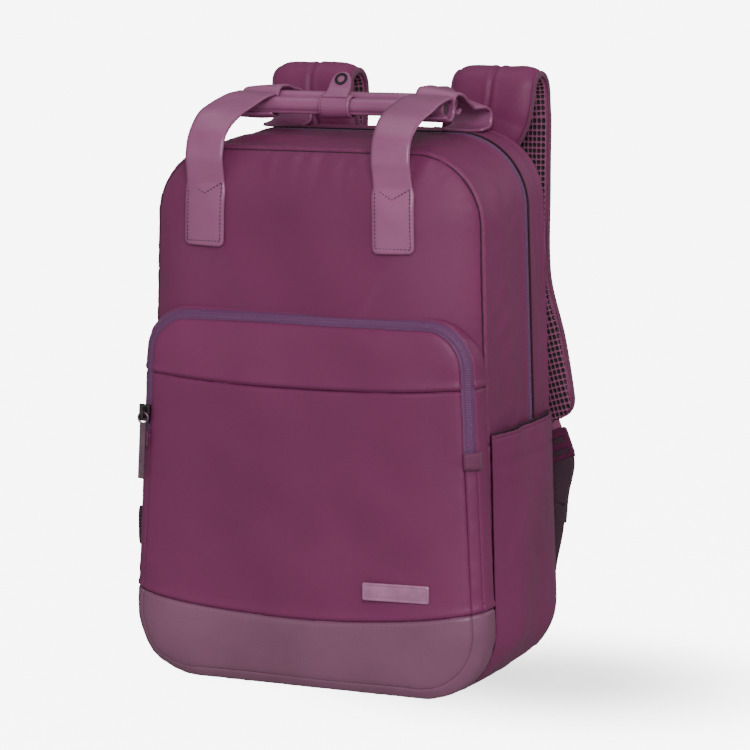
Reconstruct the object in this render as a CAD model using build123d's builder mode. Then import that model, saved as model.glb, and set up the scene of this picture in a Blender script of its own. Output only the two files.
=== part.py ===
"""Travel backpack: padded laptop bag with a zipped front pocket, side pockets,
two rolled carry grips and two padded shoulder straps.

Millimetres, +Z up, front towards -Y, origin at the middle of the resting face.
"""
from build123d import *
import math
import os

os.makedirs("parts", exist_ok=True)

# ---------------------------------------------------------------- driving dimensions
cloth = 2.4                # a wall: outer nylon, thin foam and lining sewn together
leather = 2.2              # strap leather

front_y = -76.0            # front seam of the body
rear_y = 62.0              # rear seam of the body
body_low = 2.6             # underside of the body, on top of the bottom panel
front_top = 415.0          # height of the front seam
rear_top = 424.0           # height of the rear seam
front_half = (143.0, 132.0)    # half widths of the body's front, foot and head
rear_half = (140.0, 124.0)     # the same at the rear
foot_radius = 58.0
head_radius = 54.0
zip_band = (10.0, 20.0)    # the main zipper, front and rear edge
zip_end = 200.0            # height where the main zipper stops on both sides
foot_split = 60.0          # side walls start above this height

pocket_half = (149.0, 135.0)
pocket_low = 9.0
pocket_high = 297.0
pocket_foot_radius = 54.0
pocket_head_radius = 38.0
pocket_zip_end = 196.0     # height where the pocket zipper stops
pocket_zip_inset = (2.0, 9.5)
pocket_seam = 241.0        # cross seam of the pocket
trim_seam = 70.0           # top of the leather base trim

back_thick = 10.0
pad_thick = 8.0

grip_radius = 7.0
grip_core_radius = 4.6
handle_middle = -8.0       # the carry handles sit a little to the left
handle_spread = 77.0       # from the handles' middle to each strap
handle_width = 34.0
front_hinge = (-94.5, 393.0)   # y and z where the front handle leaves its sewn ends
rear_hinge = (58.0, 427.5)
front_grip_at = (-14.0, 444.0)
rear_grip_at = (2.4, 448.0)

strap_outer = 6.5          # nylon and foam above the strap's middle line
strap_inner = 3.0          # foam below it
strap_mesh = 3.0           # air mesh under the foam
webbing_width = 25.0
webbing_thick = 1.8

SIDES = {"left": -1, "right": 1}


# ---------------------------------------------------------------- shared shapes
def at_y(y):
    """Sketch plane facing the front at depth y; its own y runs up."""
    return Plane.XZ.offset(-y)


def mix(a, b, share):
    return a + (b - a) * share


def save(piece, name):
    piece.part.label = name
    export_step(piece.part, f"parts/{name}.step")


def arch(y, halves, low, high, low_radius, high_radius):
    """Arch outline with four rounded corners: wide at the foot, narrower at the head."""
    foot, head = halves
    with BuildSketch(at_y(y)) as outline:
        Polygon((-foot, low), (foot, low), (head, high), (-head, high), align=None)
        fillet(outline.vertices().group_by(Axis.Y)[0], low_radius)
        fillet(outline.vertices().group_by(Axis.Y)[-1], high_radius)
    return outline.sketch


def body_section(y, inset):
    """Outline of the bag's body at depth y, every side moved in by inset."""
    share = (y - front_y) / (rear_y - front_y)
    foot = mix(front_half[0], rear_half[0], share) - inset
    head = mix(front_half[1], rear_half[1], share) - inset
    high = mix(front_top, rear_top, share) - inset
    return arch(
        y, (foot, head), body_low + inset, high, foot_radius - inset, head_radius - inset
    )


def body(inset, mode=Mode.ADD):
    """The bag's body between its two seams."""
    loft([body_section(front_y, inset), body_section(rear_y, inset)], mode=mode)


def front_dish(grow=0.0, mode=Mode.ADD):
    """The bulging front of the body, grown outwards by grow."""
    sections = []
    for y, inset in ((front_y, 0.0), (front_y - 12, 12.0), (front_y - 19, 50.0)):
        foot = front_half[0] - inset + grow
        head = front_half[1] - inset + grow
        depth = y - grow if inset else y
        sections.append(arch(
            depth, (foot, head), body_low + inset - grow, front_top - inset + grow,
            max(foot_radius - inset, 20) + grow, max(head_radius - inset, 20) + grow,
        ))
    loft(sections, mode=mode)


def pocket_bulge(inset=0.0, shift=0.0, mode=Mode.ADD):
    """The front pocket's bulging outside, moved in by inset and back by shift."""
    sections = []
    for y, step in ((front_y - 3, 0.0), (front_y - 20, 2.0), (front_y - 28, 14.0), (front_y - 35, 55.0)):
        depth = y + shift if step else y
        move = inset + step
        sections.append(arch(
            depth, (pocket_half[0] - move, pocket_half[1] - move), pocket_low + move,
            pocket_high - move, max(pocket_foot_radius - move, 14), max(pocket_head_radius - move, 14),
        ))
    loft(sections, mode=mode)


def pocket_prism(inset, mode=Mode.ADD):
    """The pocket's outline as a straight block through the whole front."""
    halves = [half - inset for half in pocket_half]
    outline = arch(
        front_y + 5, halves, pocket_low + inset, pocket_high - inset,
        pocket_foot_radius - inset, pocket_head_radius - inset,
    )
    extrude(outline, amount=60, mode=mode)


def pocket_edge(z, inset=pocket_zip_inset[1]):
    """Half width of the pocket at height z, moved in by inset."""
    share = (z - pocket_low - inset) / (pocket_high - pocket_low - 2 * inset)
    return mix(pocket_half[0], pocket_half[1], share) - inset


def front_edge(z):
    """Half width of the body at its front seam, just outside its cloth."""
    return mix(*front_half, (z - body_low) / (front_top - body_low)) + 0.1


def block(x, y, z, mode=Mode.INTERSECT):
    """Axis-aligned block given by its three ranges."""
    middle = ((x[0] + x[1]) / 2, (y[0] + y[1]) / 2, (z[0] + z[1]) / 2)
    with Locations(middle):
        Box(x[1] - x[0], y[1] - y[0], z[1] - z[0], mode=mode)


def band(route, thick, x_range):
    """Flat strap: a side-view route given a thickness, as wide as x_range."""
    with BuildSketch(Plane.YZ.offset(x_range[0])) as side:
        with BuildLine():
            Spline(*route)
        trace(line_width=thick)
    extrude(side.sketch, amount=x_range[1] - x_range[0])


def ribbon(stations, thick, level, side, first=None, last=None):
    """Strap through stations (x, y, z, width), its layer centred level below the middle line.

    first and last fix the directions in which the strap starts and ends.
    """
    points = [Vector(side * x, y, z) for x, y, z, _ in stations]
    sections = []
    for index, point in enumerate(points):
        before = points[max(index - 1, 0)]
        after = points[min(index + 1, len(points) - 1)]
        along = (after - before).normalized()
        if index == 0 and first:
            along = first
        if index == len(points) - 1 and last:
            along = last
        across = (Vector(1, 0, 0) - along * along.X).normalized()
        with BuildSketch(Plane(origin=point, x_dir=across, z_dir=along)) as section:
            with Locations((0, level)):
                Rectangle(stations[index][3], thick)
        sections.append(section.sketch)
    loft(sections, ruled=True)


WIDE = (-200, 200)

# ---------------------------------------------------------------- body walls
with BuildPart() as front_gusset:
    body(0)
    body(cloth, Mode.SUBTRACT)
    block(WIDE, (front_y, zip_band[0]), (zip_end, 500))
save(front_gusset, "front_gusset")

with BuildPart() as rear_gusset:
    body(0)
    body(cloth, Mode.SUBTRACT)
    block(WIDE, (zip_band[1], rear_y), (zip_end, 500))
save(rear_gusset, "rear_gusset")

with BuildPart() as main_zipper:
    body(0)
    body(cloth, Mode.SUBTRACT)
    block(WIDE, zip_band, (zip_end, 500))
save(main_zipper, "main_zipper")

for name, side in SIDES.items():
    with BuildPart() as side_wall:
        body(0)
        body(cloth, Mode.SUBTRACT)
        block(sorted((0, side * WIDE[1])), (front_y, rear_y), (foot_split, zip_end))
    save(side_wall, f"side_wall_{name}")

with BuildPart() as bottom_gusset:
    body(0)
    body(cloth, Mode.SUBTRACT)
    block(WIDE, (front_y, rear_y), (0, foot_split))
save(bottom_gusset, "bottom_gusset")

with BuildPart() as bottom_panel:
    with BuildSketch():
        RectangleRounded(186, 128, 18)
    extrude(amount=body_low)
save(bottom_panel, "bottom_panel")

with BuildPart() as base_board:
    with BuildSketch(Plane.XY.offset(body_low + cloth + 0.4)):
        with Locations((0, -6)):
            RectangleRounded(172, 118, 10)
    extrude(amount=2)
save(base_board, "base_board")

with BuildPart() as front_panel:
    front_dish()
    front_dish(-cloth, Mode.SUBTRACT)
save(front_panel, "front_panel")

with BuildPart() as back_panel:
    extrude(body_section(rear_y, 0), amount=-back_thick)
    fillet(back_panel.faces().sort_by(Axis.Y)[-1].edges(), 4)
save(back_panel, "back_panel")

back_face = rear_y + back_thick
for name, side in SIDES.items():
    with BuildPart() as back_pad:
        with BuildSketch(at_y(back_face)):
            with Locations((side * 58, 212)):
                RectangleRounded(96, 296, 26)
        extrude(amount=-pad_thick)
        fillet(back_pad.faces().sort_by(Axis.Y)[-1].edges(), 5)
    save(back_pad, f"back_pad_{name}")

with BuildPart() as strap_yoke:
    with BuildSketch(at_y(back_face)):
        with Locations((0, 380)):
            RectangleRounded(214, 22, 6)
    extrude(amount=-3)
save(strap_yoke, "strap_yoke")

with BuildPart() as laptop_divider:
    with BuildSketch(at_y(28)):
        with Locations((0, 147.5)):
            RectangleRounded(232, 275, 20)
    extrude(amount=-6)
save(laptop_divider, "laptop_divider")

with BuildPart() as organizer_pocket:
    with BuildSketch(at_y(-70)):
        with Locations((0, 145)):
            RectangleRounded(200, 150, 12)
    extrude(amount=-2)
save(organizer_pocket, "organizer_pocket")

# ---------------------------------------------------------------- front pocket
with BuildPart() as pocket_gusset:
    pocket_bulge()
    pocket_bulge(cloth, cloth, Mode.SUBTRACT)
    front_dish(mode=Mode.SUBTRACT)
    pocket_prism(pocket_zip_inset[0], Mode.SUBTRACT)
    block(WIDE, (-140, front_y), (trim_seam, 500))
save(pocket_gusset, "pocket_gusset")

with BuildPart() as pocket_zipper:
    pocket_bulge()
    pocket_bulge(cloth, cloth, Mode.SUBTRACT)
    front_dish(mode=Mode.SUBTRACT)
    pocket_prism(pocket_zip_inset[0], Mode.INTERSECT)
    pocket_prism(pocket_zip_inset[1], Mode.SUBTRACT)
    block(WIDE, (-140, front_y - 12), (pocket_zip_end, 500))
save(pocket_zipper, "pocket_zipper")

with BuildPart() as pocket_top_panel:
    pocket_bulge()
    pocket_bulge(cloth, cloth, Mode.SUBTRACT)
    pocket_prism(pocket_zip_inset[1], Mode.INTERSECT)
    block(WIDE, (-140, front_y - 12), (pocket_seam, 500))
save(pocket_top_panel, "pocket_top_panel")

with BuildPart() as pocket_face:
    pocket_bulge()
    pocket_bulge(cloth, cloth, Mode.SUBTRACT)
    front_dish(mode=Mode.SUBTRACT)
    pocket_prism(pocket_zip_inset[0], Mode.INTERSECT)
    block(WIDE, (-140, front_y - 12), (trim_seam, pocket_seam))
    for side in SIDES.values():
        with BuildSketch(at_y(front_y)) as zip_run:
            Polygon(
                (side * pocket_edge(pocket_zip_end), pocket_zip_end),
                (side * WIDE[1], pocket_zip_end), (side * WIDE[1], pocket_seam),
                (side * pocket_edge(pocket_seam), pocket_seam), align=None,
            )
        extrude(zip_run.sketch, amount=60, mode=Mode.SUBTRACT)
save(pocket_face, "pocket_face")

with BuildPart() as base_trim:
    pocket_bulge()
    pocket_bulge(cloth, cloth, Mode.SUBTRACT)
    front_dish(mode=Mode.SUBTRACT)
    block(WIDE, (-140, front_y), (0, trim_seam))
save(base_trim, "base_trim")

tag_size = (50.0, 3.0, 13.5)
tag_at = (80.0, 91.0)
with BuildPart() as tag:
    with BuildSketch(at_y(front_y - 35.6)):
        with Locations(tag_at):
            RectangleRounded(tag_size[0], tag_size[2], 1.5)
    extrude(amount=tag_size[1])
save(tag, "tag")

# ---------------------------------------------------------------- side pockets
pocket_gap = 7.0           # room between the body and the side pocket's cloth
side_pocket_top = 207.0
for name, side in SIDES.items():
    outer = sorted((side * 90, side * WIDE[1]))
    with BuildPart() as side_pocket:
        body(-pocket_gap - 2)
        body(-pocket_gap, Mode.SUBTRACT)
        block(outer, (front_y + 16, rear_y - 8), (20, side_pocket_top))
    save(side_pocket, f"side_pocket_{name}")
    with BuildPart() as side_edge:
        body(-pocket_gap - 2)
        body(0, Mode.SUBTRACT)
        block(outer, (front_y + 4, rear_y), (14, side_pocket_top))
        block(outer, (front_y + 16, rear_y - 8), (20, 500), Mode.SUBTRACT)
    save(side_edge, f"side_pocket_gusset_{name}")

tab_foot, tab_head, tab_out = 104, 134, 8.0
with BuildPart() as side_tab:
    with BuildSketch(at_y(front_y + 3)):
        Polygon(
            (-front_edge(tab_foot), tab_foot), (-front_edge(tab_head), tab_head),
            (-front_edge(tab_head) - tab_out, tab_head - 3),
            (-front_edge(tab_foot) - tab_out - 1, tab_foot + 2), align=None,
        )
    extrude(amount=2)
save(side_tab, "side_tab")

# ---------------------------------------------------------------- sewn ends of straps
tab_low = 342.0
for name, side in SIDES.items():
    strap_x = handle_middle + side * handle_spread
    strap_range = (strap_x - handle_width / 2, strap_x + handle_width / 2)
    with BuildPart() as front_tab:
        front_dish(leather)
        front_dish(0, Mode.SUBTRACT)
        block(strap_range, (-140, front_y), (tab_low, front_hinge[1] - 2))
    save(front_tab, f"front_handle_tab_{name}")
    with BuildPart() as rear_tab:
        body(-leather)
        body(0, Mode.SUBTRACT)
        block(strap_range, (rear_hinge[0] - 18, rear_hinge[0] - 2.5), (400, 440))
    save(rear_tab, f"rear_handle_tab_{name}")
    with BuildPart() as webbing_anchor:
        with BuildSketch(at_y(back_face)):
            Polygon(
                (side * 106, 34), (side * 132, 40), (side * 136, 60), (side * 111, 60), align=None
            )
        extrude(amount=-3)
    save(webbing_anchor, f"webbing_anchor_{name}")

# ---------------------------------------------------------------- carry handles
def grip(at, radius, extra=0.0, mode=Mode.ADD):
    """Round bar along X through the point (y, z)."""
    with Locations(Location((handle_middle, at[0], at[1]), (0, 90, 0))):
        Cylinder(radius, 2 * handle_spread + 18 + extra, mode=mode)


# side views of the free straps, from the sewn end up to the grip
handle_routes = {
    "front": (front_grip_at, (
        (front_hinge[0], front_hinge[1] + 0.7), (-95.2, 412), (-86, 432), (-61, 442), (-20, 446),
    )),
    "rear": (rear_grip_at, (
        (rear_hinge[0], rear_hinge[1] + 0.8), (57, 439), (46, 447.5), (26, 449.5), (8, 449),
    )),
}
for end, (at, route) in handle_routes.items():
    for name, side in SIDES.items():
        strap_x = handle_middle + side * handle_spread
        with BuildPart() as handle_strap:
            band(route, leather, (strap_x - handle_width / 2, strap_x + handle_width / 2))
            grip(at, grip_radius, 40, Mode.SUBTRACT)
        save(handle_strap, f"{end}_handle_strap_{name}")
    with BuildPart() as handle_grip:
        grip(at, grip_radius)
        grip(at, grip_core_radius, 1, Mode.SUBTRACT)
    save(handle_grip, f"{end}_grip")
    with BuildPart() as grip_core:
        grip(at, grip_core_radius)
    save(grip_core, f"{end}_grip_core")

wrap_x = (-25.0, 1.0)
wrap_thick = 2.0
with BuildPart() as handle_wrap:
    with BuildSketch(Plane.YZ.offset(wrap_x[0])):
        with Locations(front_grip_at):
            Circle(grip_radius + wrap_thick)
            Circle(grip_radius, mode=Mode.SUBTRACT)
    extrude(amount=wrap_x[1] - wrap_x[0])
save(handle_wrap, "handle_wrap")

# the wrap's free end: a short leaf that leans back over the rear grip
flap_hinge = (front_grip_at[0] + 1.5, front_grip_at[1] + grip_radius + wrap_thick + 1)
flap_lean = Vector(0, 10, 16).normalized()
flap_long = 19.0
eyelet_radius = 5.2
eyelet_hole = 3.0
flap_root = Vector(sum(wrap_x) / 2, *flap_hinge) + flap_lean * 0.6
flap_plane = Plane(origin=flap_root, x_dir=(1, 0, 0), z_dir=Vector(1, 0, 0).cross(flap_lean))
eyelet_at = (0, flap_long - 8)
with BuildPart() as wrap_flap:
    with BuildSketch(flap_plane):
        with Locations((0, flap_long / 2)):
            RectangleRounded(23, flap_long, 4)
        with Locations(eyelet_at):
            Circle(eyelet_hole + 1, mode=Mode.SUBTRACT)
    extrude(amount=wrap_thick / 2, both=True)
save(wrap_flap, "wrap_flap")

with BuildPart() as snap_eyelet:
    with BuildSketch(flap_plane):
        with Locations(eyelet_at):
            Circle(eyelet_hole + 1)
            Circle(eyelet_hole, mode=Mode.SUBTRACT)
    extrude(amount=wrap_thick / 2, both=True)
    for face in (-1, 1):
        with BuildSketch(flap_plane.offset(face * wrap_thick / 2)) as rim:
            with Locations(eyelet_at):
                Circle(eyelet_radius)
                Circle(eyelet_hole, mode=Mode.SUBTRACT)
        extrude(rim.sketch, amount=face * 0.9)
save(snap_eyelet, "snap_eyelet")

# ---------------------------------------------------------------- zip sliders and pulls
slider_size = (2.6, 9.0, 13.0)     # outwards, across, along the zipper
bridge = (2.4, 1.4, 1.8, 9.0)      # opening height, bar height, width, length
ring_radius = 4.2
ring_wire = 0.8
pull_size = (1.4, 5.0, 43.0)


def slider(place):
    """Slider body with its bridge; the place's x points away from the bag."""
    out, across, along = slider_size
    hole, bar, width, length = bridge
    with Locations(place):
        with Locations((out / 2, 0, 0)):
            Box(out, across, along)
        with Locations((out + (hole + bar) / 2, 0, 0.5)):
            Box(hole + bar, width, length)
        with Locations((out + hole / 2, 0, 0.5)):
            Box(hole, width + 1, length - 3, mode=Mode.SUBTRACT)


def pull(place):
    """Wire ring through the bridge with a long flat puller hanging from it."""
    reach = slider_size[0] + bridge[0] / 2
    with Locations(place):
        with Locations(Location((reach, 0, 0.5 - ring_radius), (0, 90, 0))):
            Torus(ring_radius, ring_wire)
        with Locations((reach, 0, 0.5 - 2 * ring_radius - pull_size[2] / 2)):
            Box(*pull_size)


def zip_place(x, y, z, outward, lean):
    """Frame on a zipper: x away from the bag, z along the zipper, which leans inwards."""
    along = Vector(lean, 0, 1).normalized()
    away = (outward - along * outward.dot(along)).normalized()
    return Plane(origin=(x, y, z), x_dir=away, z_dir=along).location


def wall_half(z):
    """Half width of the body along the main zipper at height z."""
    share = (sum(zip_band) / 2 - front_y) / (rear_y - front_y)
    foot = mix(front_half[0], rear_half[0], share)
    head = mix(front_half[1], rear_half[1], share)
    high = mix(front_top, rear_top, share)
    return mix(foot, head, (z - body_low) / (high - body_low))


main_slider_z = 262.0      # parked just above the side pocket, so its puller hangs free
main_lean = (wall_half(0) - wall_half(100)) / 100
main_place = zip_place(
    -wall_half(main_slider_z) - 0.6, sum(zip_band) / 2, main_slider_z, Vector(-1, 0, 0), main_lean
)
pocket_slider_z = 212.0
pocket_lean = (pocket_edge(0) - pocket_edge(100)) / 100
pocket_place = zip_place(
    -pocket_edge(pocket_slider_z, sum(pocket_zip_inset) / 2), front_y - 27, pocket_slider_z,
    Vector(0, -1, 0), pocket_lean,
)
for name, place in (("main", main_place), ("pocket", pocket_place)):
    with BuildPart() as zip_slider:
        slider(place)
    save(zip_slider, f"{name}_slider")
    with BuildPart() as zip_pull:
        pull(place)
    save(zip_pull, f"{name}_pull")

stop_thick = 1.6
with BuildPart() as pocket_zip_stop:
    pocket_bulge(-stop_thick, -stop_thick)
    pocket_bulge(0, 0, Mode.SUBTRACT)
    stop_x = pocket_edge(pocket_zip_end)
    block((-stop_x - 7, stop_x + 7), (-140, front_y - 16), (pocket_zip_end - 10, pocket_zip_end))
    block((-stop_x, stop_x), (-140, front_y), (0, 500), Mode.SUBTRACT)
save(pocket_zip_stop, "pocket_zip_stop")

# ---------------------------------------------------------------- shoulder straps
# stations down the strap's middle line: x, y, z, width
bend_y = 96.0              # the strap bends over the shoulder here
bend_z = 466.0
bend_radius = 15.6
strap_gap = 0.5            # half the slit between the sewn root and the swinging leg
bend_x = 78.0


def bend_station(degrees):
    """Station on the bend over the shoulder; 90 degrees is its top."""
    turn = math.radians(degrees)
    centre_z = bend_z - bend_radius
    return (
        bend_x, bend_y + bend_radius * math.cos(turn), centre_z + bend_radius * math.sin(turn), 68,
    )


root_route = (
    (62, bend_y - bend_radius, 396, 60), (70, bend_y - bend_radius, 425, 65),
    bend_station(176), bend_station(148), bend_station(120),
    (bend_x, bend_y - strap_gap, bend_z, 68),
)
leg_route = (
    (bend_x, bend_y + strap_gap, bend_z, 68), bend_station(60), bend_station(30),
    bend_station(2), (79, 112, 425, 68), (79, 111.5, 380, 68), (80, 109, 305, 66),
    (91, 106.5, 247, 60), (110, 104, 200, 46),
)
strap_end = Vector(*leg_route[-1][:3])
strap_down = (strap_end - Vector(*leg_route[-2][:3])).normalized()
loop_long = 17.0
buckle_size = (32.0, 24.0, 4.0)    # across, along, thick
buckle_gap = 1.2
buckle_top = strap_end + strap_down * (loop_long + buckle_gap + 0.3)
buckle_foot = buckle_top + strap_down * (buckle_size[1] + buckle_gap + 0.5)
webbing_route = (
    (*buckle_foot, webbing_width), (134, 98, 132, webbing_width), (133.5, 91, 106, webbing_width),
    (129, 80, 84, webbing_width), (124, 75.4, 66, webbing_width),
)
tail_route = (
    (buckle_foot.X + 0.5, buckle_foot.Y + 4.5, buckle_foot.Z, webbing_width),
    (133, 111, 138, webbing_width), (134, 112, 112, webbing_width),
)
layer_middle = (strap_inner - strap_outer) / 2
over = Vector(0, 1, 0)
upwards = Vector(0, 0, 1)
for name, side in SIDES.items():
    with BuildPart() as strap_root:
        ribbon(
            root_route, strap_outer + strap_inner + strap_mesh, layer_middle + strap_mesh / 2,
            side, first=upwards, last=over,
        )
    save(strap_root, f"strap_root_{name}")
    with BuildPart() as strap_pad:
        ribbon(leg_route, strap_outer + strap_inner, layer_middle, side, first=over)
    save(strap_pad, f"strap_pad_{name}")
    with BuildPart() as strap_lining:
        ribbon(leg_route, strap_mesh, strap_inner + strap_mesh / 2, side, first=over)
    save(strap_lining, f"strap_mesh_{name}")
    with BuildPart() as strap_loop:
        loop_end = strap_end + strap_down * loop_long
        start = strap_end + strap_down * 0.3
        ribbon(((*start, webbing_width + 3), (*loop_end, webbing_width)), 4, 0, side)
    save(strap_loop, f"strap_loop_{name}")
    mirrored = Vector(side * strap_down.X, strap_down.Y, strap_down.Z)
    middle = buckle_top + strap_down * (buckle_size[1] / 2)
    across = (Vector(1, 0, 0) - mirrored * mirrored.X).normalized()
    buckle_plane = Plane(
        origin=(side * middle.X, middle.Y, middle.Z), x_dir=across, z_dir=across.cross(mirrored)
    )
    with BuildPart() as buckle:
        with BuildSketch(buckle_plane):
            RectangleRounded(buckle_size[0], buckle_size[1], 3)
            with Locations((0, 6.5), (0, -3)):
                Rectangle(webbing_width + 1, 4.5, mode=Mode.SUBTRACT)
        extrude(amount=buckle_size[2] / 2, both=True)
    save(buckle, f"buckle_{name}")
    with BuildPart() as webbing:
        ribbon(webbing_route, webbing_thick, 0, side)
        ribbon(tail_route, webbing_thick, 0, side)
    save(webbing, f"webbing_{name}")
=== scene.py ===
# %% [markdown]
# # A plum travel backpack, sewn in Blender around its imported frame
# The frame brings the bag's solids, its joints and its sizes. Everything soft is built here:
# each cloth panel is a curved sheet that follows the solid it stands for, and every seam,
# stitch, zipper rib and strap is real geometry, so it also shows in a plain grey view.

# %% Load the frame
import math
import bmesh
import bpy
import numpy as np
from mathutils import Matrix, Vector
from mathutils.bvhtree import BVHTree


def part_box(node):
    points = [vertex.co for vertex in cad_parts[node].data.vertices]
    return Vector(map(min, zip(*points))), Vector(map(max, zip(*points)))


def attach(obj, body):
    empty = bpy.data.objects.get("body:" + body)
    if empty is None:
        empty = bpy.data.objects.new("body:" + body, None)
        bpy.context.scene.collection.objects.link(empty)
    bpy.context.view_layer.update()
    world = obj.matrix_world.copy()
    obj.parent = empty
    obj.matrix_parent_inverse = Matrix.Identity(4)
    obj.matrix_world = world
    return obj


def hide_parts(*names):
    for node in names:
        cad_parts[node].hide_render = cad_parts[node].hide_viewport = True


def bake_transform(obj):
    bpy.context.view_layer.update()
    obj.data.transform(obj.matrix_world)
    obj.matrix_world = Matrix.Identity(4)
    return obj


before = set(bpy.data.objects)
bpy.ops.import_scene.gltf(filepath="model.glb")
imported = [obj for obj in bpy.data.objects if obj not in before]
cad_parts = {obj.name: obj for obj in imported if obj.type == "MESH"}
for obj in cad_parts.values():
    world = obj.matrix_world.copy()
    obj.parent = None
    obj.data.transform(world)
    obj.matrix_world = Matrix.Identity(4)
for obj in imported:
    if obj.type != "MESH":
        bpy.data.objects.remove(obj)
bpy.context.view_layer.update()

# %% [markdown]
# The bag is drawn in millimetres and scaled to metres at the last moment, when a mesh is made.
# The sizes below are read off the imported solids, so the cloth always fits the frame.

MM = 0.001
SIDES = (("left", -1), ("right", 1))       # name and X direction


def low(node):
    """Lowest corner of a solid, in millimetres."""
    return np.array(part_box(node)[0]) / MM


def high(node):
    """Highest corner of a solid, in millimetres."""
    return np.array(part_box(node)[1]) / MM


def middle(node):
    """Centre of a solid's box, in millimetres."""
    return (low(node) + high(node)) / 2


front_y = low("front_gusset")[1]
rear_y = high("rear_gusset")[1]
body_low = low("bottom_gusset")[2]
front_top = high("front_panel")[2]
rear_top = high("rear_gusset")[2]
zip_band = (low("main_zipper")[1], high("main_zipper")[1])
zip_end = high("side_wall_left")[2]
print(f"body depth {rear_y - front_y:.1f} mm, height {rear_top - body_low:.1f} mm")

# %% [markdown]
# ## Camera, light and floor
# A long lens from slightly right of the front keeps the bag's upright lines nearly parallel.
# The floor is a wide pale disc, so every view has ground under it.

# %% Camera
view_turn = math.radians(24)
view_rise = math.radians(8)
view_distance = 2.48
view_target = Vector((0.013, 0.0, 0.236))
view_back = Vector((
    math.sin(view_turn) * math.cos(view_rise),
    -math.cos(view_turn) * math.cos(view_rise),
    math.sin(view_rise),
))
lens = bpy.data.cameras.new("studio_camera")
lens.sensor_width = 36
lens.lens = 153.6
lens.clip_end = 60
camera = bpy.data.objects.new("studio_camera", lens)
bpy.context.scene.collection.objects.link(camera)
camera.location = view_target + view_back * view_distance
camera.rotation_euler = view_back.to_track_quat("Z", "Y").to_euler()
bpy.context.scene.camera = camera


# %% Lights
def area_light(name, place, aim, size, power):
    """Soft square lamp at place, shining at aim; all in metres."""
    lamp = bpy.data.lights.new(name, "AREA")
    lamp.size = size
    lamp.energy = power
    holder = bpy.data.objects.new(name, lamp)
    bpy.context.scene.collection.objects.link(holder)
    holder.location = place
    holder.rotation_euler = (Vector(place) - Vector(aim)).to_track_quat("Z", "Y").to_euler()


area_light("key_light", (1.3, -2.3, 1.5), (0.03, 0, 0.27), 1.1, 52)
area_light("fill_light", (-1.2, -2.5, 0.5), (0, 0, 0.2), 1.0, 2)
area_light("side_light", (2.4, -0.4, 1.2), (0, 0, 0.25), 1.2, 2)
area_light("rim_light", (1.6, 1.9, 1.5), (0, 0, 0.25), 1.4, 6)
area_light("top_light", (-0.3, 0.1, 2.6), (0, 0, 0.3), 1.6, 7)

# %% [markdown]
# The backdrop is bright only where the camera looks straight at it, so the bag isn't flooded
# with light from all sides. The floor glows by the same amount, and its glow fades in a soft
# pool under the bag's right side, where the shadow falls: a painted shadow, added to the one
# the lamps cast. The floor is hidden from bounced rays, which keeps its glow off the cloth.

# %% Backdrop and floor
BACKDROP = 7.5                             # strength of the backdrop, straight to the camera
POOL = 1.9                                 # floor's glow in the middle of the shadow
WARM_WHITE = (1.0, 0.995, 0.99, 1)
world = bpy.data.worlds.new("studio")
bpy.context.scene.world = world
world.use_nodes = True
world_tree = world.node_tree
soft_sky = world_tree.nodes["Background"]
soft_sky.inputs["Color"].default_value = (1.0, 0.99, 0.98, 1)
white_sky = world_tree.nodes.new("ShaderNodeBackground")
white_sky.inputs["Color"].default_value = WARM_WHITE
white_sky.inputs["Strength"].default_value = BACKDROP
rays = world_tree.nodes.new("ShaderNodeLightPath")
dim = world_tree.nodes.new("ShaderNodeMapRange")   # reflections see a darker room
dim.inputs["To Min"].default_value = 0.78
dim.inputs["To Max"].default_value = 0.12
world_tree.links.new(rays.outputs["Is Glossy Ray"], dim.inputs["Value"])
world_tree.links.new(dim.outputs["Result"], soft_sky.inputs["Strength"])
pick = world_tree.nodes.new("ShaderNodeMixShader")
world_tree.links.new(rays.outputs["Is Camera Ray"], pick.inputs[0])
world_tree.links.new(soft_sky.outputs[0], pick.inputs[1])
world_tree.links.new(white_sky.outputs[0], pick.inputs[2])
world_tree.links.new(pick.outputs[0], world_tree.nodes["World Output"].inputs["Surface"])

floor_mesh = bpy.data.meshes.new("studio_floor")
disc = bmesh.new()
bmesh.ops.create_circle(disc, cap_ends=True, segments=96, radius=14)
disc.to_mesh(floor_mesh)
disc.free()
floor = bpy.data.objects.new("studio_floor", floor_mesh)
bpy.context.scene.collection.objects.link(floor)
floor_paint = bpy.data.materials.new("pale_floor")
floor_paint.use_nodes = True
paint = floor_paint.node_tree.nodes["Principled BSDF"]
paint.inputs["Base Color"].default_value = (0.5, 0.5, 0.5, 1)
paint.inputs["Roughness"].default_value = 0.9
paint.inputs["Emission Color"].default_value = WARM_WHITE
floor_nodes = floor_paint.node_tree
where = floor_nodes.nodes.new("ShaderNodeTexCoord")
centred = floor_nodes.nodes.new("ShaderNodeMapping")
centred.vector_type = "TEXTURE"
centred.inputs["Location"].default_value = (0.15, 0.04, 0)
centred.inputs["Scale"].default_value = (0.26, 0.22, 1)
# Painted shadow: a soft round pool in which the floor's glow drops to POOL.
shade = floor_nodes.nodes.new("ShaderNodeTexGradient")
shade.gradient_type = "SPHERICAL"
glow = floor_nodes.nodes.new("ShaderNodeMapRange")
glow.interpolation_type = "SMOOTHSTEP"
glow.inputs["From Max"].default_value = 0.9
glow.inputs["To Min"].default_value = BACKDROP - 0.4
glow.inputs["To Max"].default_value = POOL
floor_nodes.links.new(where.outputs["Object"], centred.inputs["Vector"])
floor_nodes.links.new(centred.outputs["Vector"], shade.inputs["Vector"])
floor_nodes.links.new(shade.outputs["Fac"], glow.inputs["Value"])
floor_nodes.links.new(glow.outputs["Result"], paint.inputs["Emission Strength"])
floor_mesh.materials.append(floor_paint)
floor.visible_diffuse = False
floor.visible_glossy = False


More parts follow.
